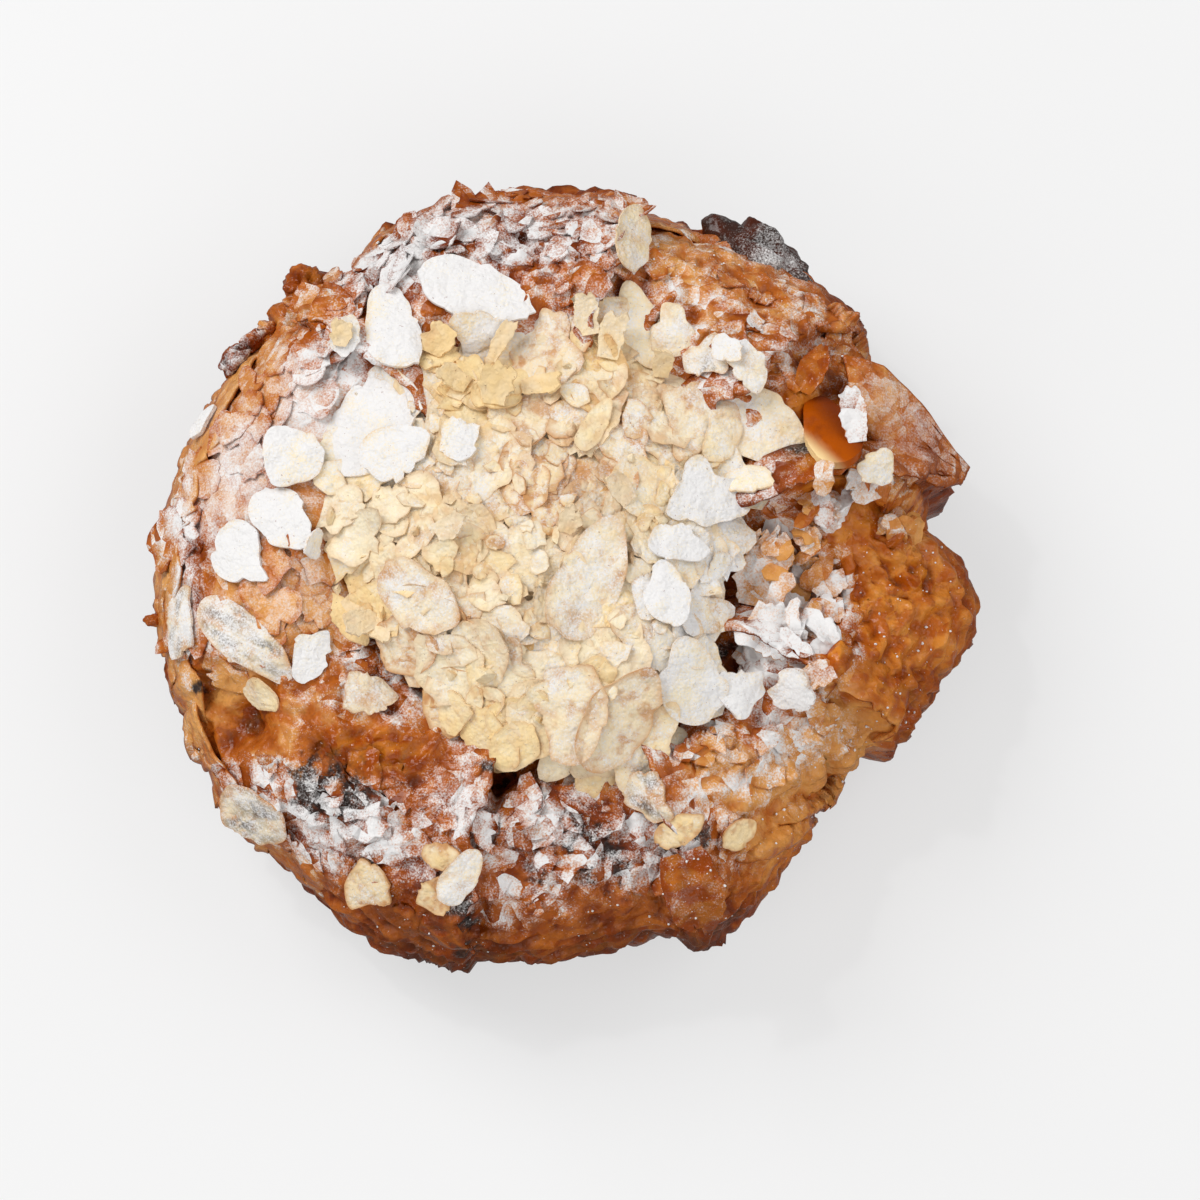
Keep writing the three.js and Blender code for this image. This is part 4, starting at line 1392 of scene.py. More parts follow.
def cream_material(colours):
    """Baked almond cream: lumpy, pale yellow to tan, browned in patches. Its tan and its browning are partly
    baking and partly painted shade, for the gaps between the flakes where the cream shows.
    """
    material, tree, shader, place = new_material("almond_cream")
    lumps = tree.noise(place, 3.0, 5.0, 0.6)
    base = tree.mixed(tree.ranged(lumps, 0.35, 0.7), colours.cream, colours.yellow)
    brown = tree.math("MULTIPLY", tree.mask("toast"), tree.ranged(tree.noise(place, 1.4, 4.0), 0.4, 0.65))
    base = tree.mixed(brown, base, colours.toast_and_shade)
    sugar = sugar_mask(tree, place, tree.mask("sugar"))
    colour = tree.mixed(sugar, base, colours.sugar)
    roughness = tree.math("MULTIPLY_ADD", sugar, 0.3, 0.55)
    height = tree.math("MULTIPLY_ADD", tree.noise(place, 0.7, 2.0), 0.3, lumps)
    dress(tree, shader, colour, roughness, tree.bump(height, 0.9, 0.7), 0.3)
    return material


def burnt_material(colours):
    """Leaked filling, boiled black, with icing sugar on top."""
    material, tree, shader, place = new_material("burnt_filling")
    patch = tree.noise(place, 5.0, 4.0)
    base = tree.mixed(tree.ranged(patch, 0.35, 0.65), colours.burnt, colours.dark)
    sugar = sugar_mask(tree, place, tree.mask("sugar"))
    colour = tree.mixed(sugar, base, colours.sugar)
    roughness = tree.math("MULTIPLY_ADD", sugar, 0.5, 0.22)
    dress(tree, shader, colour, roughness, tree.bump(tree.noise(place, 2.6, 2.0), 0.7, 0.6), 0.3)
    return material


def caramel_material(colours):
    """Clear amber caramel over an almond, thin where the almond shows."""
    material, tree, shader, place = new_material("amber_caramel")
    cloud = tree.noise(place, 3.0, 3.0)
    # Darker towards one end of the almond and in clouds.
    depth = tree.math("MAXIMUM", tree.mask("deep"), tree.ranged(cloud, 0.4, 0.8, 0.0, 0.6))
    base = tree.mixed(depth, colours.caramel, colours.brown)
    colour = tree.mixed(tree.mask("pale"), base, colours.yellow)
    roughness = tree.ranged(cloud, 0.3, 0.7, 0.16, 0.3)
    dress(tree, shader, colour, roughness, tree.bump(tree.noise(place, 1.3, 2.0), 0.4, 0.35), 0.1)
    return material


def floor_material(colours):
    """Pale floor on a light table, so that shadows stay soft."""
    material, tree, shader, place = new_material("pale_floor")
    tone = tree.ranged(tree.noise(place, 300.0, 2.0), 0.2, 0.8, 0.985, 1.0)
    seen = tree.add("ShaderNodeLightPath").outputs["Is Camera Ray"]
    paint = tree.mixed(1.0, colours.floor, tone, "MULTIPLY")
    tree.put(shader.inputs["Base Color"], tree.mixed(seen, FLOOR_BOUNCE_PAINT, paint))
    shader.inputs["Roughness"].default_value = 0.8
    shader.inputs["Specular IOR Level"].default_value = 0.1
    tree.put(shader.inputs["Emission Color"], tree.mixed(seen, FLOOR_BOUNCE_GLOW, WHITE))
    shader.inputs["Emission Strength"].default_value = FLOOR_GLOW
    return material


def shared_material(name, maker, context):
    return bpy.data.materials.get(name) or maker(context.scene.croissant_colours)


# Operators


class PastryRing(bpy.types.Operator):
    """Adds the laminated pastry roll, bent into a ring until its horns meet"""

    bl_idname = "croissant.pastry_ring"
    bl_label = "Pastry Ring"

    def execute(self, context):
        sizes = context.scene.croissant_sizes
        big_radius = 2.0
        mesh = ring_mesh("pastry_ring", RING_FACETS["along"], RING_FACETS["round"], big_radius)
        torus = get_points(mesh)
        angle = np.degrees(np.arctan2(torus[:, 1], torus[:, 0]))
        even = np.arctan2(torus[:, 2], np.hypot(torus[:, 0], torus[:, 1]) - big_radius)
        section = np.degrees(even + TOP_SHARE * np.cos(even))
        points, masks = ring_skin(angle, section, sizes)
        set_points(mesh, points)
        set_masks(mesh, masks)
        add_crust_piece("pastry_ring", mesh, context)
        WORKTOP.lay_mesh(mesh)
        return {"FINISHED"}


class BurntLump(bpy.types.Operator):
    """Adds the burnt lump of filling that leaked out at the back"""

    bl_idname = "croissant.burnt_lump"
    bl_label = "Burnt Lump"

    def execute(self, context):
        bm = bmesh.new()
        bmesh.ops.create_icosphere(bm, subdivisions=6, radius=1.0)
        mesh = finished_mesh("burnt_lump", bm)
        ball = get_points(mesh)
        first, second, *_ = NOISE.plates(ball * 1.5 + 4)
        swell = 0.86 + 0.24 * fade(second - first, 0.0, 0.6) + 0.05 * NOISE.layered(ball * 4, 3)
        spread = ball * swell[:, None] * BURNT_LUMP_HALF_SIZES
        dx, dy = turned(spread[:, 0], spread[:, 1], math.radians(BURNT_LUMP_TURN))
        points = columns(dx, dy, spread[:, 2]) + BURNT_LUMP_PLACE
        from_sugar = np.hypot(*(points[:, :2] - BURNT_LUMP_SUGAR).T)
        sugar = (0.12 + 0.42 * bell(from_sugar, 5.5)) * fade(ball[:, 2], 0.1, 0.6)
        set_points(mesh, points)
        set_masks(mesh, {"sugar": sugar})
        material = shared_material("burnt_filling", burnt_material, context)
        add_piece("burnt_lump", mesh, material, RING_NODE)
        return {"FINISHED"}


class RimLumps(bpy.types.Operator):
    """Adds the small lumps of leaked filling on the outer edge"""

    bl_idname = "croissant.rim_lumps"
    bl_label = "Rim Lumps"

    def execute(self, context):
        ball, faces = ball_template(4)
        pile = Pile()
        for x, y, z, half_x, half_y, half_z, turn, bake, burn, sugar, ways in RIM_LUMPS:
            swell = 0.95 + 0.3 * NOISE.layered(ball * 1.6 + x, 3)
            hole = np.zeros(len(ball))
            for way in ways:
                off = np.arccos(np.clip(ball @ np.array(way) / np.linalg.norm(way), -1, 1))
                hole = np.maximum(hole, bell(off, 0.5))
            spread = ball * (swell - 0.6 * hole)[:, None] * (half_x, half_y, half_z)
            dx, dy = turned(spread[:, 0], spread[:, 1], math.radians(turn))
            points = columns(dx, dy, spread[:, 2]) + (x, y, z)
            mottle = NOISE.layered(points / 2, 2)
            dust = np.clip(sugar * (1 + 0.5 * mottle) * fade(ball[:, 2], 0, 0.6) - hole, 0, 1)
            # The holes get a darker bake: painted shade in the holes.
            bakes = bake + 0.2 * mottle + 0.2 * hole
            pile.add(points, faces, sugar=dust, bake=bakes, burn=burn, amber=0.7 * hole, calm=0.5)
        add_crust_piece("rim_lumps", pile.mesh("rim_lumps"), context)
        return {"FINISHED"}


class AlmondCream(bpy.types.Operator):
    """Adds the baked almond cream that fills the ring and carries the flakes"""

    bl_idname = "croissant.almond_cream"
    bl_label = "Almond Cream"

    def execute(self, context):
        sizes = context.scene.croissant_sizes
        mesh = ball_mesh("almond_cream", CREAM_FACETS["around"], CREAM_FACETS["down"])
        ball = get_points(mesh)
        spread = np.hypot(ball[:, 0], ball[:, 1])
        turn = np.arctan2(ball[:, 1], ball[:, 0])
        reach = heap_reach(np.degrees(turn)) - CREAM_INSET
        down = np.degrees(np.arccos(np.clip(ball[:, 2], -1, 1))) / 90 - 1
        level = sizes.cap_level / MM
        neck = PLUG_RADIUS + (reach - PLUG_RADIUS) * (1 - fade(down, 0, 0.45))
        radius = np.where(down < 0, reach * spread**CAP_ROUNDNESS, neck * (1 - fade(down, 0.85, 1)))
        x = HEAP_CENTRE[0] * (1 - fade(down, 0, 0.5)) + radius * np.cos(turn)
        y = HEAP_CENTRE[1] * (1 - fade(down, 0, 0.5)) + radius * np.sin(turn)
        flat = columns(x, y, 0)
        lumps = 1.3 * NOISE.layered(flat / 13 + 2, 2) + 0.8 * NOISE(flat / 4.5) + 0.35 * NOISE(flat / 1.8)
        rise = (sizes.cap_rise / MM) * signed_power(ball[:, 2], CAP_ROUNDNESS)
        rise = rise + fade(ball[:, 2], 0, 0.4) * lumps
        sunk = (level - PLUG_BOTTOM) * fade(down, 0, 0.85)
        white = 0.8 * on_plan(x, y, WHITE_PLACES) + 0.15
        set_points(mesh, columns(x, y, level + np.where(down < 0, rise, -sunk)))
        # The cream's toast has a floor of 0.4 everywhere: painted shade where the cream shows between the
        # flakes.
        set_masks(mesh, {"sugar": white * (down < 0), "toast": 0.4 + 0.6 * on_plan(x, y, DUSKY_PLACES)})
        material = shared_material("almond_cream", cream_material, context)
        add_piece("almond_cream", mesh, material, HEAP_NODE)
        WORKTOP.lay_mesh(mesh)
        return {"FINISHED"}


def add_crust(pile, points, faces, up, sugar_share=1.0, bake_shift=0.0):
    """Adds a piece of crust to a pile, coloured by its place."""
    none = np.zeros(len(points))
    masks = crust_masks(points, up, none, none, none)
    masks["sugar"] = np.clip(masks["sugar"] * sugar_share, 0, 1)
    pile.add(points, faces, **{**masks, "bake": masks["bake"] + bake_shift})


class TornEdges(bpy.types.Operator):
    """Adds the thin torn edges of the dough's turns"""

    bl_idname = "croissant.torn_edges"
    bl_label = "Torn Edges"

    def execute(self, context):
        sizes = context.scene.croissant_sizes
        thickness = sizes.edge_thickness / MM
        pile = Pile()
        for turn in TURNS:
            ribbon = sheet(*RIBBON_FACETS, functools.partial(self.ribbon, turn, sizes), thickness)
            add_crust(pile, *ribbon, bake_shift=0.08)
        for rim in TORN_RIMS:
            strip = sheet(*RIM_FACETS, functools.partial(self.rim, rim, sizes), thickness, self.is_whole)
            add_crust(pile, *strip, bake_shift=-0.16)
        mesh = pile.mesh("torn_edges")
        add_crust_piece("torn_edges", mesh, context)
        WORKTOP.lay_mesh(mesh)
        return {"FINISHED"}

    def ribbon(self, turn, sizes, along, across):
        """Points of one edge, from the outer wall over the top, and from its free side inwards."""
        edge, side, lift, reach = turn
        section = 20 + 128 * along
        start = edge + side * (section - 90) * EDGE_SLANT
        bare = Skin(start, section, sizes).lifted(0)
        wander = EDGE_WANDER * NOISE.layered(bare / 11, 2)
        waves, teeth, curls = NOISE(bare / 5 + 3), NOISE(bare / 1.6 + 8), NOISE(bare / 7 + 5)
        overhang = 1.0 + 1.5 * waves + 0.9 * teeth
        inside = across * 6.5 - overhang * (1 - across)
        swept = np.degrees(inside / np.hypot(bare[:, 0], bare[:, 1]))
        end = 1 - fade(np.minimum(along, 1 - along), 0, 0.1)
        rise = 0.45 + (0.5 + 1.3 * curls) * (1 - across) ** 2 - 1.8 * across**3 - 3 * end
        lifted = lift * np.exp(-np.maximum(swept, 0) / reach) + rise
        shift = across[:, None]
        lifted = lifted + 0.9 * NOISE(bare / 4.5 + 2 * shift) + 0.5 * NOISE(bare / 2 + shift)
        return Skin(start - wander + side * swept, section, sizes).lifted(lifted)

    def is_whole(self, along, across):
        """Where a rim has dough: it is torn through in some places."""
        torn = NOISE(columns(along * 15, across * 2.2, 0) + 17)
        return torn < 0.5 + 0.4 * (2 * across - 1) ** 4

    def rim(self, rim, sizes, along, across):
        """Points of a torn rim, from its raised inner edge outwards and down."""
        first, last, inner, outer, height = rim
        angle = first + (last - first) * along
        bare = Skin(angle, np.full(len(along), 0.5 * (inner + outer)), sizes).lifted(0)
        waves, teeth = NOISE(bare / 8 + 13), NOISE(bare / 1.7 + 3)
        ragged = fade(NOISE(bare / 7 + 30), 0, 0.5)
        end = 1 - fade(np.minimum(along, 1 - along), 0, 0.12)
        top = inner + 13 * waves + 8 * teeth * ragged - 12 * end
        low = outer - 9 * NOISE(bare / 4 + 7) - 7 * teeth * (1 - ragged)
        section = top + (low - top) * across
        crags = NOISE(columns(angle / 3, across * 4, 0) + inner)
        flare = np.maximum(NOISE(bare / 2.6 + 9), 0) * fade(across, 0.7, 1)
        lifted = 0.3 + height * (1 - across) ** 1.5 * (0.7 + 0.8 * waves)
        lifted = lifted + 0.5 * crags + 1.9 * flare - 3 * end
        return Skin(angle + 1.2 * teeth * fade(across, 0.6, 1), section, sizes).lifted(lifted)


class CrustFolds(bpy.types.Operator):
    """Adds the pointed flap and the rounded folds of crust"""

    bl_idname = "croissant.crust_folds"
    bl_label = "Crust Folds"

    def execute(self, context):
        pile = Pile()
        add_crust(pile, *sheet(*FLAP_FACETS, self.flap, FLAP_THICKNESS), bake_shift=0.04)
        for line, width, height in FOLDS:
            add_crust(pile, *self.fold(line, width, height))
        mesh = pile.mesh("crust_folds")
        add_crust_piece("crust_folds", mesh, context)
        WORKTOP.lay_mesh(mesh)
        return {"FINISHED"}

    def flap(self, along, across):
        """Points of the pointed flap, from its root to its tip."""
        upper, lower = along_line(FLAP_UPPER, along), along_line(FLAP_LOWER, along)
        x = lower[0] + (upper[0] - lower[0]) * across
        y = lower[1] + (upper[1] - lower[1]) * across
        flat = columns(x, y, 0)
        torn = NOISE(flat / 1.8) * 0.5
        streaks = NOISE(columns(along * 2, across * 7, 0))
        z = FLAP_LEVEL - FLAP_DROP * along**1.6 + 1.8 * np.sin(math.pi * across) * (1 - along) + 0.5 * streaks
        edge = 1 - fade(across, 0, 0.12)
        return columns(x + torn * edge, y + torn * edge, z - 1.2 * edge + 0.3 * NOISE(flat / 3))

    def fold(self, line, width, height):
        """Points and faces of a rounded ridge that lies along a line, and how far each point looks up."""
        bm = bmesh.new()
        bmesh.ops.create_grid(bm, x_segments=FOLD_FACETS[0], y_segments=FOLD_FACETS[1], size=1.0)
        flat = np.array([vertex.co for vertex in bm.verts])
        along, turn = (flat[:, 0] + 1) / 2, flat[:, 1] * math.pi
        x, y = along_line(line, along)
        ahead_x, ahead_y = along_line(line, along + 0.02)
        behind_x, behind_y = along_line(line, along - 0.02)
        reach = np.hypot(ahead_x - behind_x, ahead_y - behind_y)
        taper = np.sqrt(np.clip(1 - (2 * along - 1) ** 2, 0, 1))
        middle = columns(x, y, 0)
        sway = NOISE(middle / 6 + 1) * 1.2
        swell = taper * (1 + 0.35 * NOISE(middle / 4 + 7))
        side = np.cos(turn) * width / 2 * swell + sway
        steps = (-1.5, 0, 1.5)
        bed = np.mean([WORKTOP.at(x + dx, y + dy) for dx in steps for dy in steps], axis=0)
        x = x - side * (ahead_y - behind_y) / reach
        y = y + side * (ahead_x - behind_x) / reach
        z = bed - 0.3 * height + np.sin(turn) * height * swell
        points = columns(x, y, z)
        points = points + 0.6 * NOISE(points / 2.1)[:, None] * taper[:, None]
        for vertex, point in zip(bm.verts, points):
            vertex.co = point
        bmesh.ops.remove_doubles(bm, verts=bm.verts, dist=1e-3)
        return read_sheet(bm)


class CrustShards(bpy.types.Operator):
    """Adds loose pieces of flaky crust that lie on the ring"""

    bl_idname = "croissant.crust_shards"
    bl_label = "Crust Shards"

    def execute(self, context):
        sizes = context.scene.croissant_sizes
        self.random = np.random.default_rng(SEEDS["shards"])
        self.thickness = sizes.shard_thickness / MM
        pile = Pile()
        broad = {"count": 1300, "density": 0.5, "lengths": (8, 15), "bends": (0.0, 0.008), "lean": 4}
        small = {"count": 2600, "density": 0.6, "lengths": (4, 11), "bends": (0.05, 0.05), "lean": 12}
        self.scatter(pile, CALM_PLACES[:2], MEDIUM_PLATE, **broad)
        self.scatter(pile, FLAKY_PLACES, SMALL_PLATE, **small)
        add_crust_piece("crust_shards", pile.mesh("crust_shards"), context, SHARD_CRISP)
        return {"FINISHED"}

    def scatter(self, pile, places, template, count, density, lengths, bends, lean):
        """Scatters torn leaves over the places. Bends are a mean and a spread, and lean is in degrees."""
        random = self.random
        angles = np.arange(count) * GOLDEN_ANGLE
        radii = SHARD_RADII[0] + (SHARD_RADII[1] - SHARD_RADII[0]) * random.random(count) ** 0.8
        xs, ys = round_plan(radii, angles)
        chances = density * on_plan(xs, ys, places)
        flakes = [(x, y, length / 2, width / 2, turn, 1) for x, y, length, width, turn, *_ in HEAP_LANDMARKS]
        is_hidden = (beyond_heap(xs, ys) < 0) | (on_plan(xs, ys, flakes) > 0.1)
        chances[is_hidden | (WORKTOP.at(xs, ys) < SHARD_LOWEST)] = 0
        for x, y, angle, chance in zip(xs, ys, angles, chances):
            if random.random() > chance:
                continue
            length = lengths[0] + (lengths[1] - lengths[0]) * random.random() ** 1.5
            turn = angle + 90 + random.normal() * 35
            shard = Plate(x, y, length, length * (0.5 + 0.4 * random.random()), turn, self.thickness, random)
            for _ in range(2):
                shard.break_at(random.random() * 2 * math.pi, length * (0.2 + 0.2 * random.random()))
            shard.roughen(0.26)
            bend = bends[0] + random.normal() * bends[1]
            tilt = math.radians(lean * (0.3 + random.random()))
            points, faces, edge = shard.lay(template, bend, tilt, slope_limit=1.2, settle=0.5)
            # Each shard grows darker and less sugared towards its edge: partly the browner thin edge, partly
            # painted shade in the cracks between leaves.
            add_crust(pile, points, faces, 1 - 0.4 * edge**3, bake_shift=0.18 * edge**3)


def curled_leaf(x, y, length, width, turn, tilt, curl, random, ragged=1.0):
    """Gives the function that puts one thin leaf in place: it rises from its root and curls.

    Ragged is 1 for a torn edge, and less for a smoother one.
    """
    turn, tilt, curl = math.radians(turn), math.radians(tilt), math.radians(curl)
    level = WORKTOP.at(x, y)
    seed = random.random(3) * 80
    cup = 0.02 + 0.03 * random.random()

    def place(along, across):
        edge = columns(3 * along, 6 * across, 0) + seed
        reach = along * (1 + 0.16 * NOISE(columns(across * width * 0.8, 0, 0) + seed))
        lift = tilt + curl * reach
        run = length * (np.sin(lift) - math.sin(tilt)) / curl
        rise = length * (math.cos(tilt) - np.cos(lift)) / curl
        teeth = NOISE(columns(along * length / 0.9, np.sign(across - 0.5), 0) + seed)
        spread = 0.55 + 0.5 * np.sin(math.pi * (0.1 + 0.75 * along))
        spread = spread * (1 + ragged * (0.3 * NOISE(edge) + 0.22 * teeth))
        spread = spread * (1.02 - (1 - ragged) * along**6)
        offset = (across - 0.5) * width * spread
        bowl = cup * offset**2 + 0.25 * NOISE(columns(3 * along, offset, 0) + seed)
        run, rise = run - bowl * np.sin(lift), rise + bowl * np.cos(lift)
        px = x + run * math.cos(turn) - offset * math.sin(turn)
        py = y + run * math.sin(turn) + offset * math.cos(turn)
        return columns(px, py, level + rise)

    return place


class CrustLeaves(bpy.types.Operator):
    """Adds the sugared leaves of crust that curl up beside the heap"""

    bl_idname = "croissant.crust_leaves"
    bl_label = "Curled Crust Leaves"

    def execute(self, context):
        sizes = context.scene.croissant_sizes
        random = np.random.default_rng(SEEDS["leaves"])
        pile = Pile()
        for x, y, length, width, turn, tilt, curl, sugar, bake in CRUST_LEAVES:
            is_bare = sugar < BARE_LEAF_SUGAR
            leaf = curled_leaf(x, y, length, width, turn, tilt, curl, random, 0.4 if is_bare else 1.0)
            points, faces, up = sheet(*LEAF_FACETS, leaf, sizes.shard_thickness / MM)
            dust = np.clip(sugar * (1 + 0.3 * NOISE(points / 3)) * fade(up, -0.2, 0.4), 0, 1)
            bakes = np.clip(bake - 0.12 + 0.2 * NOISE(points / 2.5), 0, 1)
            pile.add(points, faces, sugar=dust, bake=bakes, burn=0, amber=0.4 * is_bare, calm=0.5)
        mesh = pile.mesh("crust_leaves")
        add_crust_piece("crust_leaves", mesh, context, LEAF_CRISP)
        WORKTOP.lay_mesh(mesh)
        return {"FINISHED"}


class SugarSpecks(bpy.types.Operator):
    """Adds the grains of sugar that stick to the bare crust"""

    bl_idname = "croissant.sugar_specks"
    bl_label = "Sugar Grains"

    def execute(self, context):
        random = np.random.default_rng(SEEDS["specks"])
        ball, faces = ball_template(1)
        pile = Pile()
        for x, y, half_length, half_width, turn, count in SPECK_PLACES:
            away, way = np.sqrt(random.random(count)), 2 * math.pi * random.random(count)
            along, across = half_length * away * np.cos(way), half_width * away * np.sin(way)
            dx, dy = turned(along, across, math.radians(turn))
            xs, ys = x + dx, y + dy
            places = columns(xs, ys, WORKTOP.at(xs, ys))
            for place in places[places[:, 2] > SPECK_LOWEST]:
                size = SPECK_LEAST + SPECK_RANGE * random.random() ** 2
                grain = ball * size * (0.7 + 0.6 * random.random(3))
                pile.add(place + grain, faces, sugar=1, bake=0, burn=0, amber=0, calm=1)
        add_crust_piece("sugar_specks", pile.mesh("sugar_specks"), context, LEAF_CRISP)
        return {"FINISHED"}


class PastryShreds(bpy.types.Operator):
    """Adds the curled shreds of pastry in the hollow beside the heap"""

    bl_idname = "croissant.pastry_shreds"
    bl_label = "Pastry Shreds"

    def execute(self, context):
        random = np.random.default_rng(SEEDS["shreds"])
        pile = Pile()
        for place_x, place_y, half_length, half_width, count, sugar in SHRED_PLACES:
            for _ in range(count):
                x = place_x + np.clip(random.normal() * 0.5, -1, 1) * half_length
                y = place_y + np.clip(random.normal() * 0.5, -1, 1) * half_width
                shred = self.shred(x, y, random)
                points, faces, _ = sheet(*SHRED_FACETS, shred, 0.35 + 0.25 * random.random())
                dust = np.clip(sugar + 0.3 * random.normal(), 0, 1)
                bake = np.clip(0.12 + 0.2 * random.normal(), 0, 0.8)
                pile.add(points, faces, sugar=dust, bake=bake, burn=0, amber=0, calm=0.5)
        add_crust_piece("pastry_shreds", pile.mesh("pastry_shreds"), context, LEAF_CRISP)
        return {"FINISHED"}

    def shred(self, x, y, random):
        """Gives the function that puts one curled strip in place."""
        length, width = 4 + 4 * random.random(), 2 + 2 * random.random()
        turn, curl = random.random() * 2 * math.pi, random.normal() * 0.12
        hump, twist = 0.2 + 1.2 * random.random(), random.normal() * 0.5
        level = WORKTOP.at(x, y)
        slope = random.normal() * 0.25
        seed = random.random(3) * 80

        def place(along, across):
            run = (along - 0.5) * length
            heading = turn + curl * run / 2
            ragged = 1 + 0.5 * NOISE(columns(run / 1.3, 3 * across, 0) + seed)
            offset = (across - 0.5) * width * ragged * (1.02 - (2 * along - 1) ** 8)
            roll = twist * (2 * along - 1) + 0.3
            px = x + run * np.cos(heading) - offset * np.sin(heading) * np.cos(roll)
            py = y + run * np.sin(heading) + offset * np.cos(heading) * np.cos(roll)
            pz = level + 0.4 + hump * np.sin(math.pi * along) + slope * run + offset * np.sin(roll)
            return columns(px, py, pz)

        return place


class CandiedAlmond(bpy.types.Operator):
    """Adds the almond that is coated in amber caramel, beside the heap"""

    bl_idname = "croissant.candied_almond"
    bl_label = "Candied Almond"

    def execute(self, context):
        random = np.random.default_rng(SEEDS["candied"])
        pile = Pile()
        almond = Plate(*CANDIED_PLACE, CANDIED_LENGTH, CANDIED_WIDTH, CANDIED_TURN, CANDIED_THICKNESS, random)
        almond.roughen(0.03)
        points, faces, _ = almond.lay(LARGE_PLATE, bend=-0.03, slope_limit=0.9, settle=0.9, wave=0.3)
        along, across = almond.from_middle(points)
        along, across = along / (CANDIED_LENGTH / 2), across / (CANDIED_WIDTH / 2)
        pale = fade(0.7 * across - 0.7 * along, 0.35, 0.9)
        pile.add(points, faces, pale=pale, deep=fade(0.7 * along - across, -0.3, 0.9))
        material = shared_material("amber_caramel", caramel_material, context)
        add_piece("candied_almond", pile.mesh("candied_almond"), material, RING_NODE, FLAKE_CRISP)
        return {"FINISHED"}


def almond_masks(points, edge, sugar, toast, tint, char=0.0, rough=1.0):
    """Masks of an almond flake: sugar and toast drift over neighbouring flakes alike."""
    drift, spots = NOISE.layered(points / 6 + 70, 2), NOISE(points / 3.5 + 50)
    masks = {"sugar": sugar * (1 + 0.5 * drift) - 0.2 * edge**3}
    masks.update(toast=toast * (1 + 0.5 * spots), tint=tint - 0.2 * drift)
    masks = {name: np.clip(mask, 0, 1) for name, mask in masks.items()}
    return {**masks, "edge": edge, "char": char, "rough": rough}


def heap_spread(angles):
    """Distances from the heap's centre that spread things evenly over it, like the seeds of a sunflower."""
    count = len(angles)
    return heap_reach(angles) * np.sqrt((np.arange(count) + 0.5) / count)


def heap_places(angles, radii):
    """Plan places on the heap, and how white, dusky and yellow it is there: one row for each."""
    dx, dy = round_plan(radii, angles)
    xs, ys = HEAP_CENTRE[0] + dx, HEAP_CENTRE[1] + dy
    tints = [on_plan(xs, ys, places) for places in (WHITE_PLACES, DUSKY_PLACES, YELLOW_PLACES)]
    return columns(xs, ys, *tints)


def lay_scattered(pile, template, count, least, most, lean, random, sizes):
    """Spreads broken flakes over the heap. Least and most are their lengths, and lean is in degrees."""
    angles = np.arange(count) * GOLDEN_ANGLE + random.normal(size=count) * 4
    radii = heap_spread(angles) + random.normal(size=count) * 0.8 - FLAKE_INSET
    for x, y, white, dusky, yellow in heap_places(angles, radii):
        length = least + (most - least) * random.random() ** 1.5
        width = length * (0.55 + 0.35 * random.random())
        thickness = sizes.flake_thickness / MM * (0.5 + 0.5 * random.random())
        flake = Plate(x, y, length, width, random.random() * 360, thickness, random)
        for _ in range(random.integers(0, 3)):
            flake.break_at(random.random() * 2 * math.pi, length * (0.2 + 0.25 * random.random()))
        flake.roughen(0.16)
        tilt = math.radians(lean * random.random() ** 2)
        bend = 0.008 + random.normal() * 0.015
        points, faces, edge = flake.lay(template, bend, tilt, slope_limit=0.6, settle=0.25, wave=0.3)
        sugar = 0.5 * white + 0.24 + 0.2 * random.random() - 0.25 * yellow + 0.06 * dusky
        toast = 0.22 + 1.2 * dusky + 0.4 * random.random() ** 3
        tint = (0.05 + 0.55 * yellow + 0.5 * random.random() ** 2) * (1 - 0.7 * white)
        pile.add(points, faces, **almond_masks(points, edge, sugar, toast, tint, rough=0.65))


class HeapFlakes(bpy.types.Operator):
    """Adds the heap of broken almond flakes on the almond cream"""

    bl_idname = "croissant.heap_flakes"
    bl_label = "Heap of Flaked Almonds"

    def execute(self, context):
        sizes = context.scene.croissant_sizes
        random = np.random.default_rng(SEEDS["heap"])
        pile = Pile()
        layers = ((MEDIUM_PLATE, 100, 12, 18, 5), (MEDIUM_PLATE, 90, 9, 16, 9), (SMALL_PLATE, 70, 3.5, 8, 20))
        for template, count, least, most, lean in layers:
            lay_scattered(pile, template, count, least, most, lean, random, sizes)
        add_almond_piece("heap_flakes", pile.mesh("heap_flakes"), HEAP_NODE, context)
        return {"FINISHED"}


class AlmondChips(bpy.types.Operator):
    """Adds the curled almond chips that stand up from the heap"""

    bl_idname = "croissant.almond_chips"
    bl_label = "Curled Almond Chips"

    def execute(self, context):
        sizes = context.scene.croissant_sizes
        random = np.random.default_rng(SEEDS["chips"])
        pile = Pile()
        for x, y, length, width, turn, tilt, curl, sugar, toast, tint in ALMOND_CHIPS:
            chip = curled_leaf(x, y, length, width, turn, tilt, curl, random)
            points, faces, _ = sheet(*CHIP_FACETS, chip, 0.8 * sizes.flake_thickness / MM)
            edge = np.full(len(points), 0.85)
            pile.add(points, faces, **almond_masks(points, edge, sugar, toast, tint, rough=0.3))
        add_almond_piece("almond_chips", pile.mesh("almond_chips"), HEAP_NODE, context)
        return {"FINISHED"}


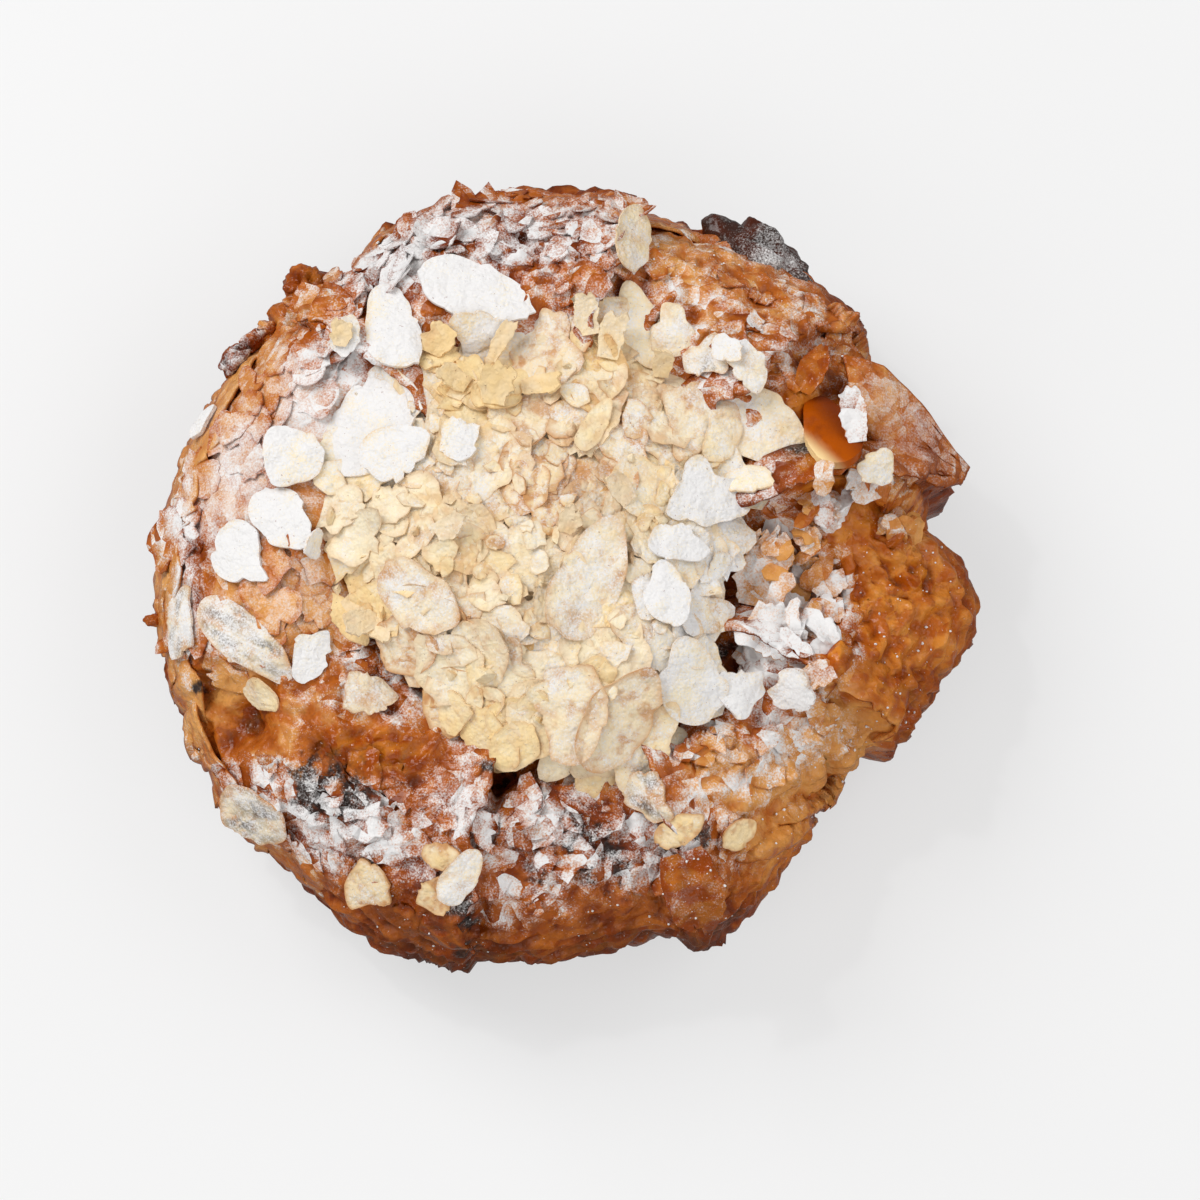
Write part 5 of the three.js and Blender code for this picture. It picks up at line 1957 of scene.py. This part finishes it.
def lay_landmarks(name, rows, node, settle, context):
    """Lays the flakes that stand out, each at its own place, on what is under it.

    The number of rows is the seed of the random draws.
    """
    sizes = context.scene.croissant_sizes
    random = np.random.default_rng(len(rows))
    pile = Pile()
    for x, y, length, width, turn, sugar, toast, tint, broken in rows:
        thickness = sizes.flake_thickness / MM * (1 + 0.6 * (sugar > 0.8))
        flake = Plate(x, y, length, width, turn, thickness, random)
        if broken is not None:
            flake.break_at(math.radians(broken), length * 0.3)
        flake.roughen(0.08 + 0.04 * (broken is not None))
        bend = random.normal() * 0.01
        points, faces, edge = flake.lay(LARGE_PLATE, bend, slope_limit=1.3, settle=settle, wave=0.4)
        along, across = flake.from_middle(points)
        streaks = fade(NOISE(columns(along / 7, across / 1.6, 0) + x), -0.15, 0.3)
        char = streaks * (1 - edge**2) * (toast > 0.72) * (0.4 < sugar < 0.95)
        pile.add(points, faces, **almond_masks(points, edge, sugar, toast, tint, char, 0.35))
    add_almond_piece(name, pile.mesh(name), node, context)


class LargeFlakes(bpy.types.Operator):
    """Adds the large almond flakes that stand out on the heap and on the ring"""

    bl_idname = "croissant.large_flakes"
    bl_label = "Large Almond Flakes"

    def execute(self, context):
        lay_landmarks("large_heap_flakes", HEAP_LANDMARKS, HEAP_NODE, 0.6, context)
        lay_landmarks("ring_flakes", RING_LANDMARKS, RING_NODE, 0.9, context)
        return {"FINISHED"}


class AlmondCrumbs(bpy.types.Operator):
    """Adds the crumbs of almond and cream between the flakes"""

    bl_idname = "croissant.almond_crumbs"
    bl_label = "Almond Crumbs"

    def execute(self, context):
        random = np.random.default_rng(SEEDS["crumbs"])
        ball, faces = ball_template(1)
        edge = np.full(len(ball), 0.6)
        angles = np.arange(CRUMB_COUNT) * GOLDEN_ANGLE
        pile = Pile()
        for x, y, white, dusky, yellow in heap_places(angles, heap_spread(angles)):
            size = (0.5 + 0.9 * random.random() ** 2) * (0.5 + random.random(3))
            crumb = ball * (1 + 0.25 * random.normal(size=(len(ball), 1))) * size
            points = crumb + (x, y, WORKTOP.at(x, y))
            toast = np.clip(0.25 + 0.7 * dusky + 0.3 * random.random(), 0, 1)
            pile.add(points, faces, **almond_masks(points, edge, 0.7 * white, toast, 0.2 + 0.6 * yellow))
        add_almond_piece("almond_crumbs", pile.mesh("almond_crumbs"), HEAP_NODE, context, LEAF_CRISP)
        return {"FINISHED"}


class Stage(bpy.types.Operator):
    """Adds the floor, the soft studio light and the camera"""

    bl_idname = "croissant.stage"
    bl_label = "Stage"

    def execute(self, context):
        bm = bmesh.new()
        bmesh.ops.create_grid(bm, x_segments=4, y_segments=4, size=FLOOR_HALF_SIZE)
        mesh = finished_mesh("floor", bm)
        floor = bpy.data.objects.new("floor", mesh)
        mesh.materials.append(floor_material(context.scene.croissant_colours))
        context.scene.collection.objects.link(floor)
        for light in LIGHTS:
            self.add_light(*light)
        world = bpy.data.worlds.new("studio")
        world.use_nodes = True
        sky = world.node_tree.nodes["Background"]
        sky.inputs["Color"].default_value = WHITE
        sky.inputs["Strength"].default_value = SKY_STRENGTH
        context.scene.world = world
        context.scene.view_settings.view_transform = "Standard"
        self.add_camera(context)
        return {"FINISHED"}

    def add_light(self, name, place, size, power):
        light = bpy.data.lights.new(name, "AREA")
        light.shape, light.size, light.energy = "DISK", size, power
        lamp = bpy.data.objects.new(name, light)
        lamp.location = place
        lamp.rotation_euler = (-Vector(place)).to_track_quat("-Z", "Y").to_euler()
        bpy.context.scene.collection.objects.link(lamp)

    def add_camera(self, context):
        camera = bpy.data.cameras.new("camera")
        camera.lens, camera.sensor_width = CAMERA_LENS, CAMERA_SENSOR
        tripod = bpy.data.objects.new("camera", camera)
        tilt = math.radians(CAMERA_TILT)
        way = Vector((0, -math.sin(tilt), math.cos(tilt)))
        tripod.location = Vector(CAMERA_AIM) + way * CAMERA_DISTANCE
        tripod.rotation_euler = (tilt, 0, 0)
        context.scene.collection.objects.link(tripod)
        context.scene.camera = tripod


class CroissantPanel(bpy.types.Panel):
    """Lists the croissant's pieces in the order they are made"""

    bl_idname = "VIEW3D_PT_croissant"
    bl_label = "Almond Croissant"
    bl_space_type = "VIEW_3D"
    bl_region_type = "UI"
    bl_category = "Croissant"

    def draw(self, context):
        for operator in OPERATORS:
            self.layout.operator(operator.bl_idname)
        for group in (context.scene.croissant_sizes, context.scene.croissant_colours):
            for name in group.__annotations__:
                self.layout.prop(group, name)


OPERATORS = (
    PastryRing,
    TornEdges,
    CrustFolds,
    BurntLump,
    RimLumps,
    AlmondCream,
    CrustShards,
    CandiedAlmond,
    CrustLeaves,
    SugarSpecks,
    PastryShreds,
    HeapFlakes,
    AlmondCrumbs,
    LargeFlakes,
    AlmondChips,
    Stage,
)
CLASSES = (CroissantSizes, CroissantColours, *OPERATORS, CroissantPanel)


def register():
    for cls in CLASSES:
        bpy.utils.register_class(cls)
    bpy.types.Scene.croissant_sizes = bpy.props.PointerProperty(type=CroissantSizes)
    bpy.types.Scene.croissant_colours = bpy.props.PointerProperty(type=CroissantColours)


def unregister():
    del bpy.types.Scene.croissant_colours
    del bpy.types.Scene.croissant_sizes
    for cls in reversed(CLASSES):
        bpy.utils.unregister_class(cls)


def main():
    register()
    bpy.ops.croissant.pastry_ring()
    bpy.ops.croissant.torn_edges()
    bpy.ops.croissant.crust_folds()
    bpy.ops.croissant.burnt_lump()
    bpy.ops.croissant.rim_lumps()
    bpy.ops.croissant.almond_cream()
    bpy.ops.croissant.crust_shards()
    bpy.ops.croissant.candied_almond()
    bpy.ops.croissant.crust_leaves()
    bpy.ops.croissant.sugar_specks()
    bpy.ops.croissant.pastry_shreds()
    bpy.ops.croissant.heap_flakes()
    bpy.ops.croissant.almond_crumbs()
    bpy.ops.croissant.large_flakes()
    bpy.ops.croissant.almond_chips()
    bpy.ops.croissant.stage()


if __name__ == "__main__":
    main()
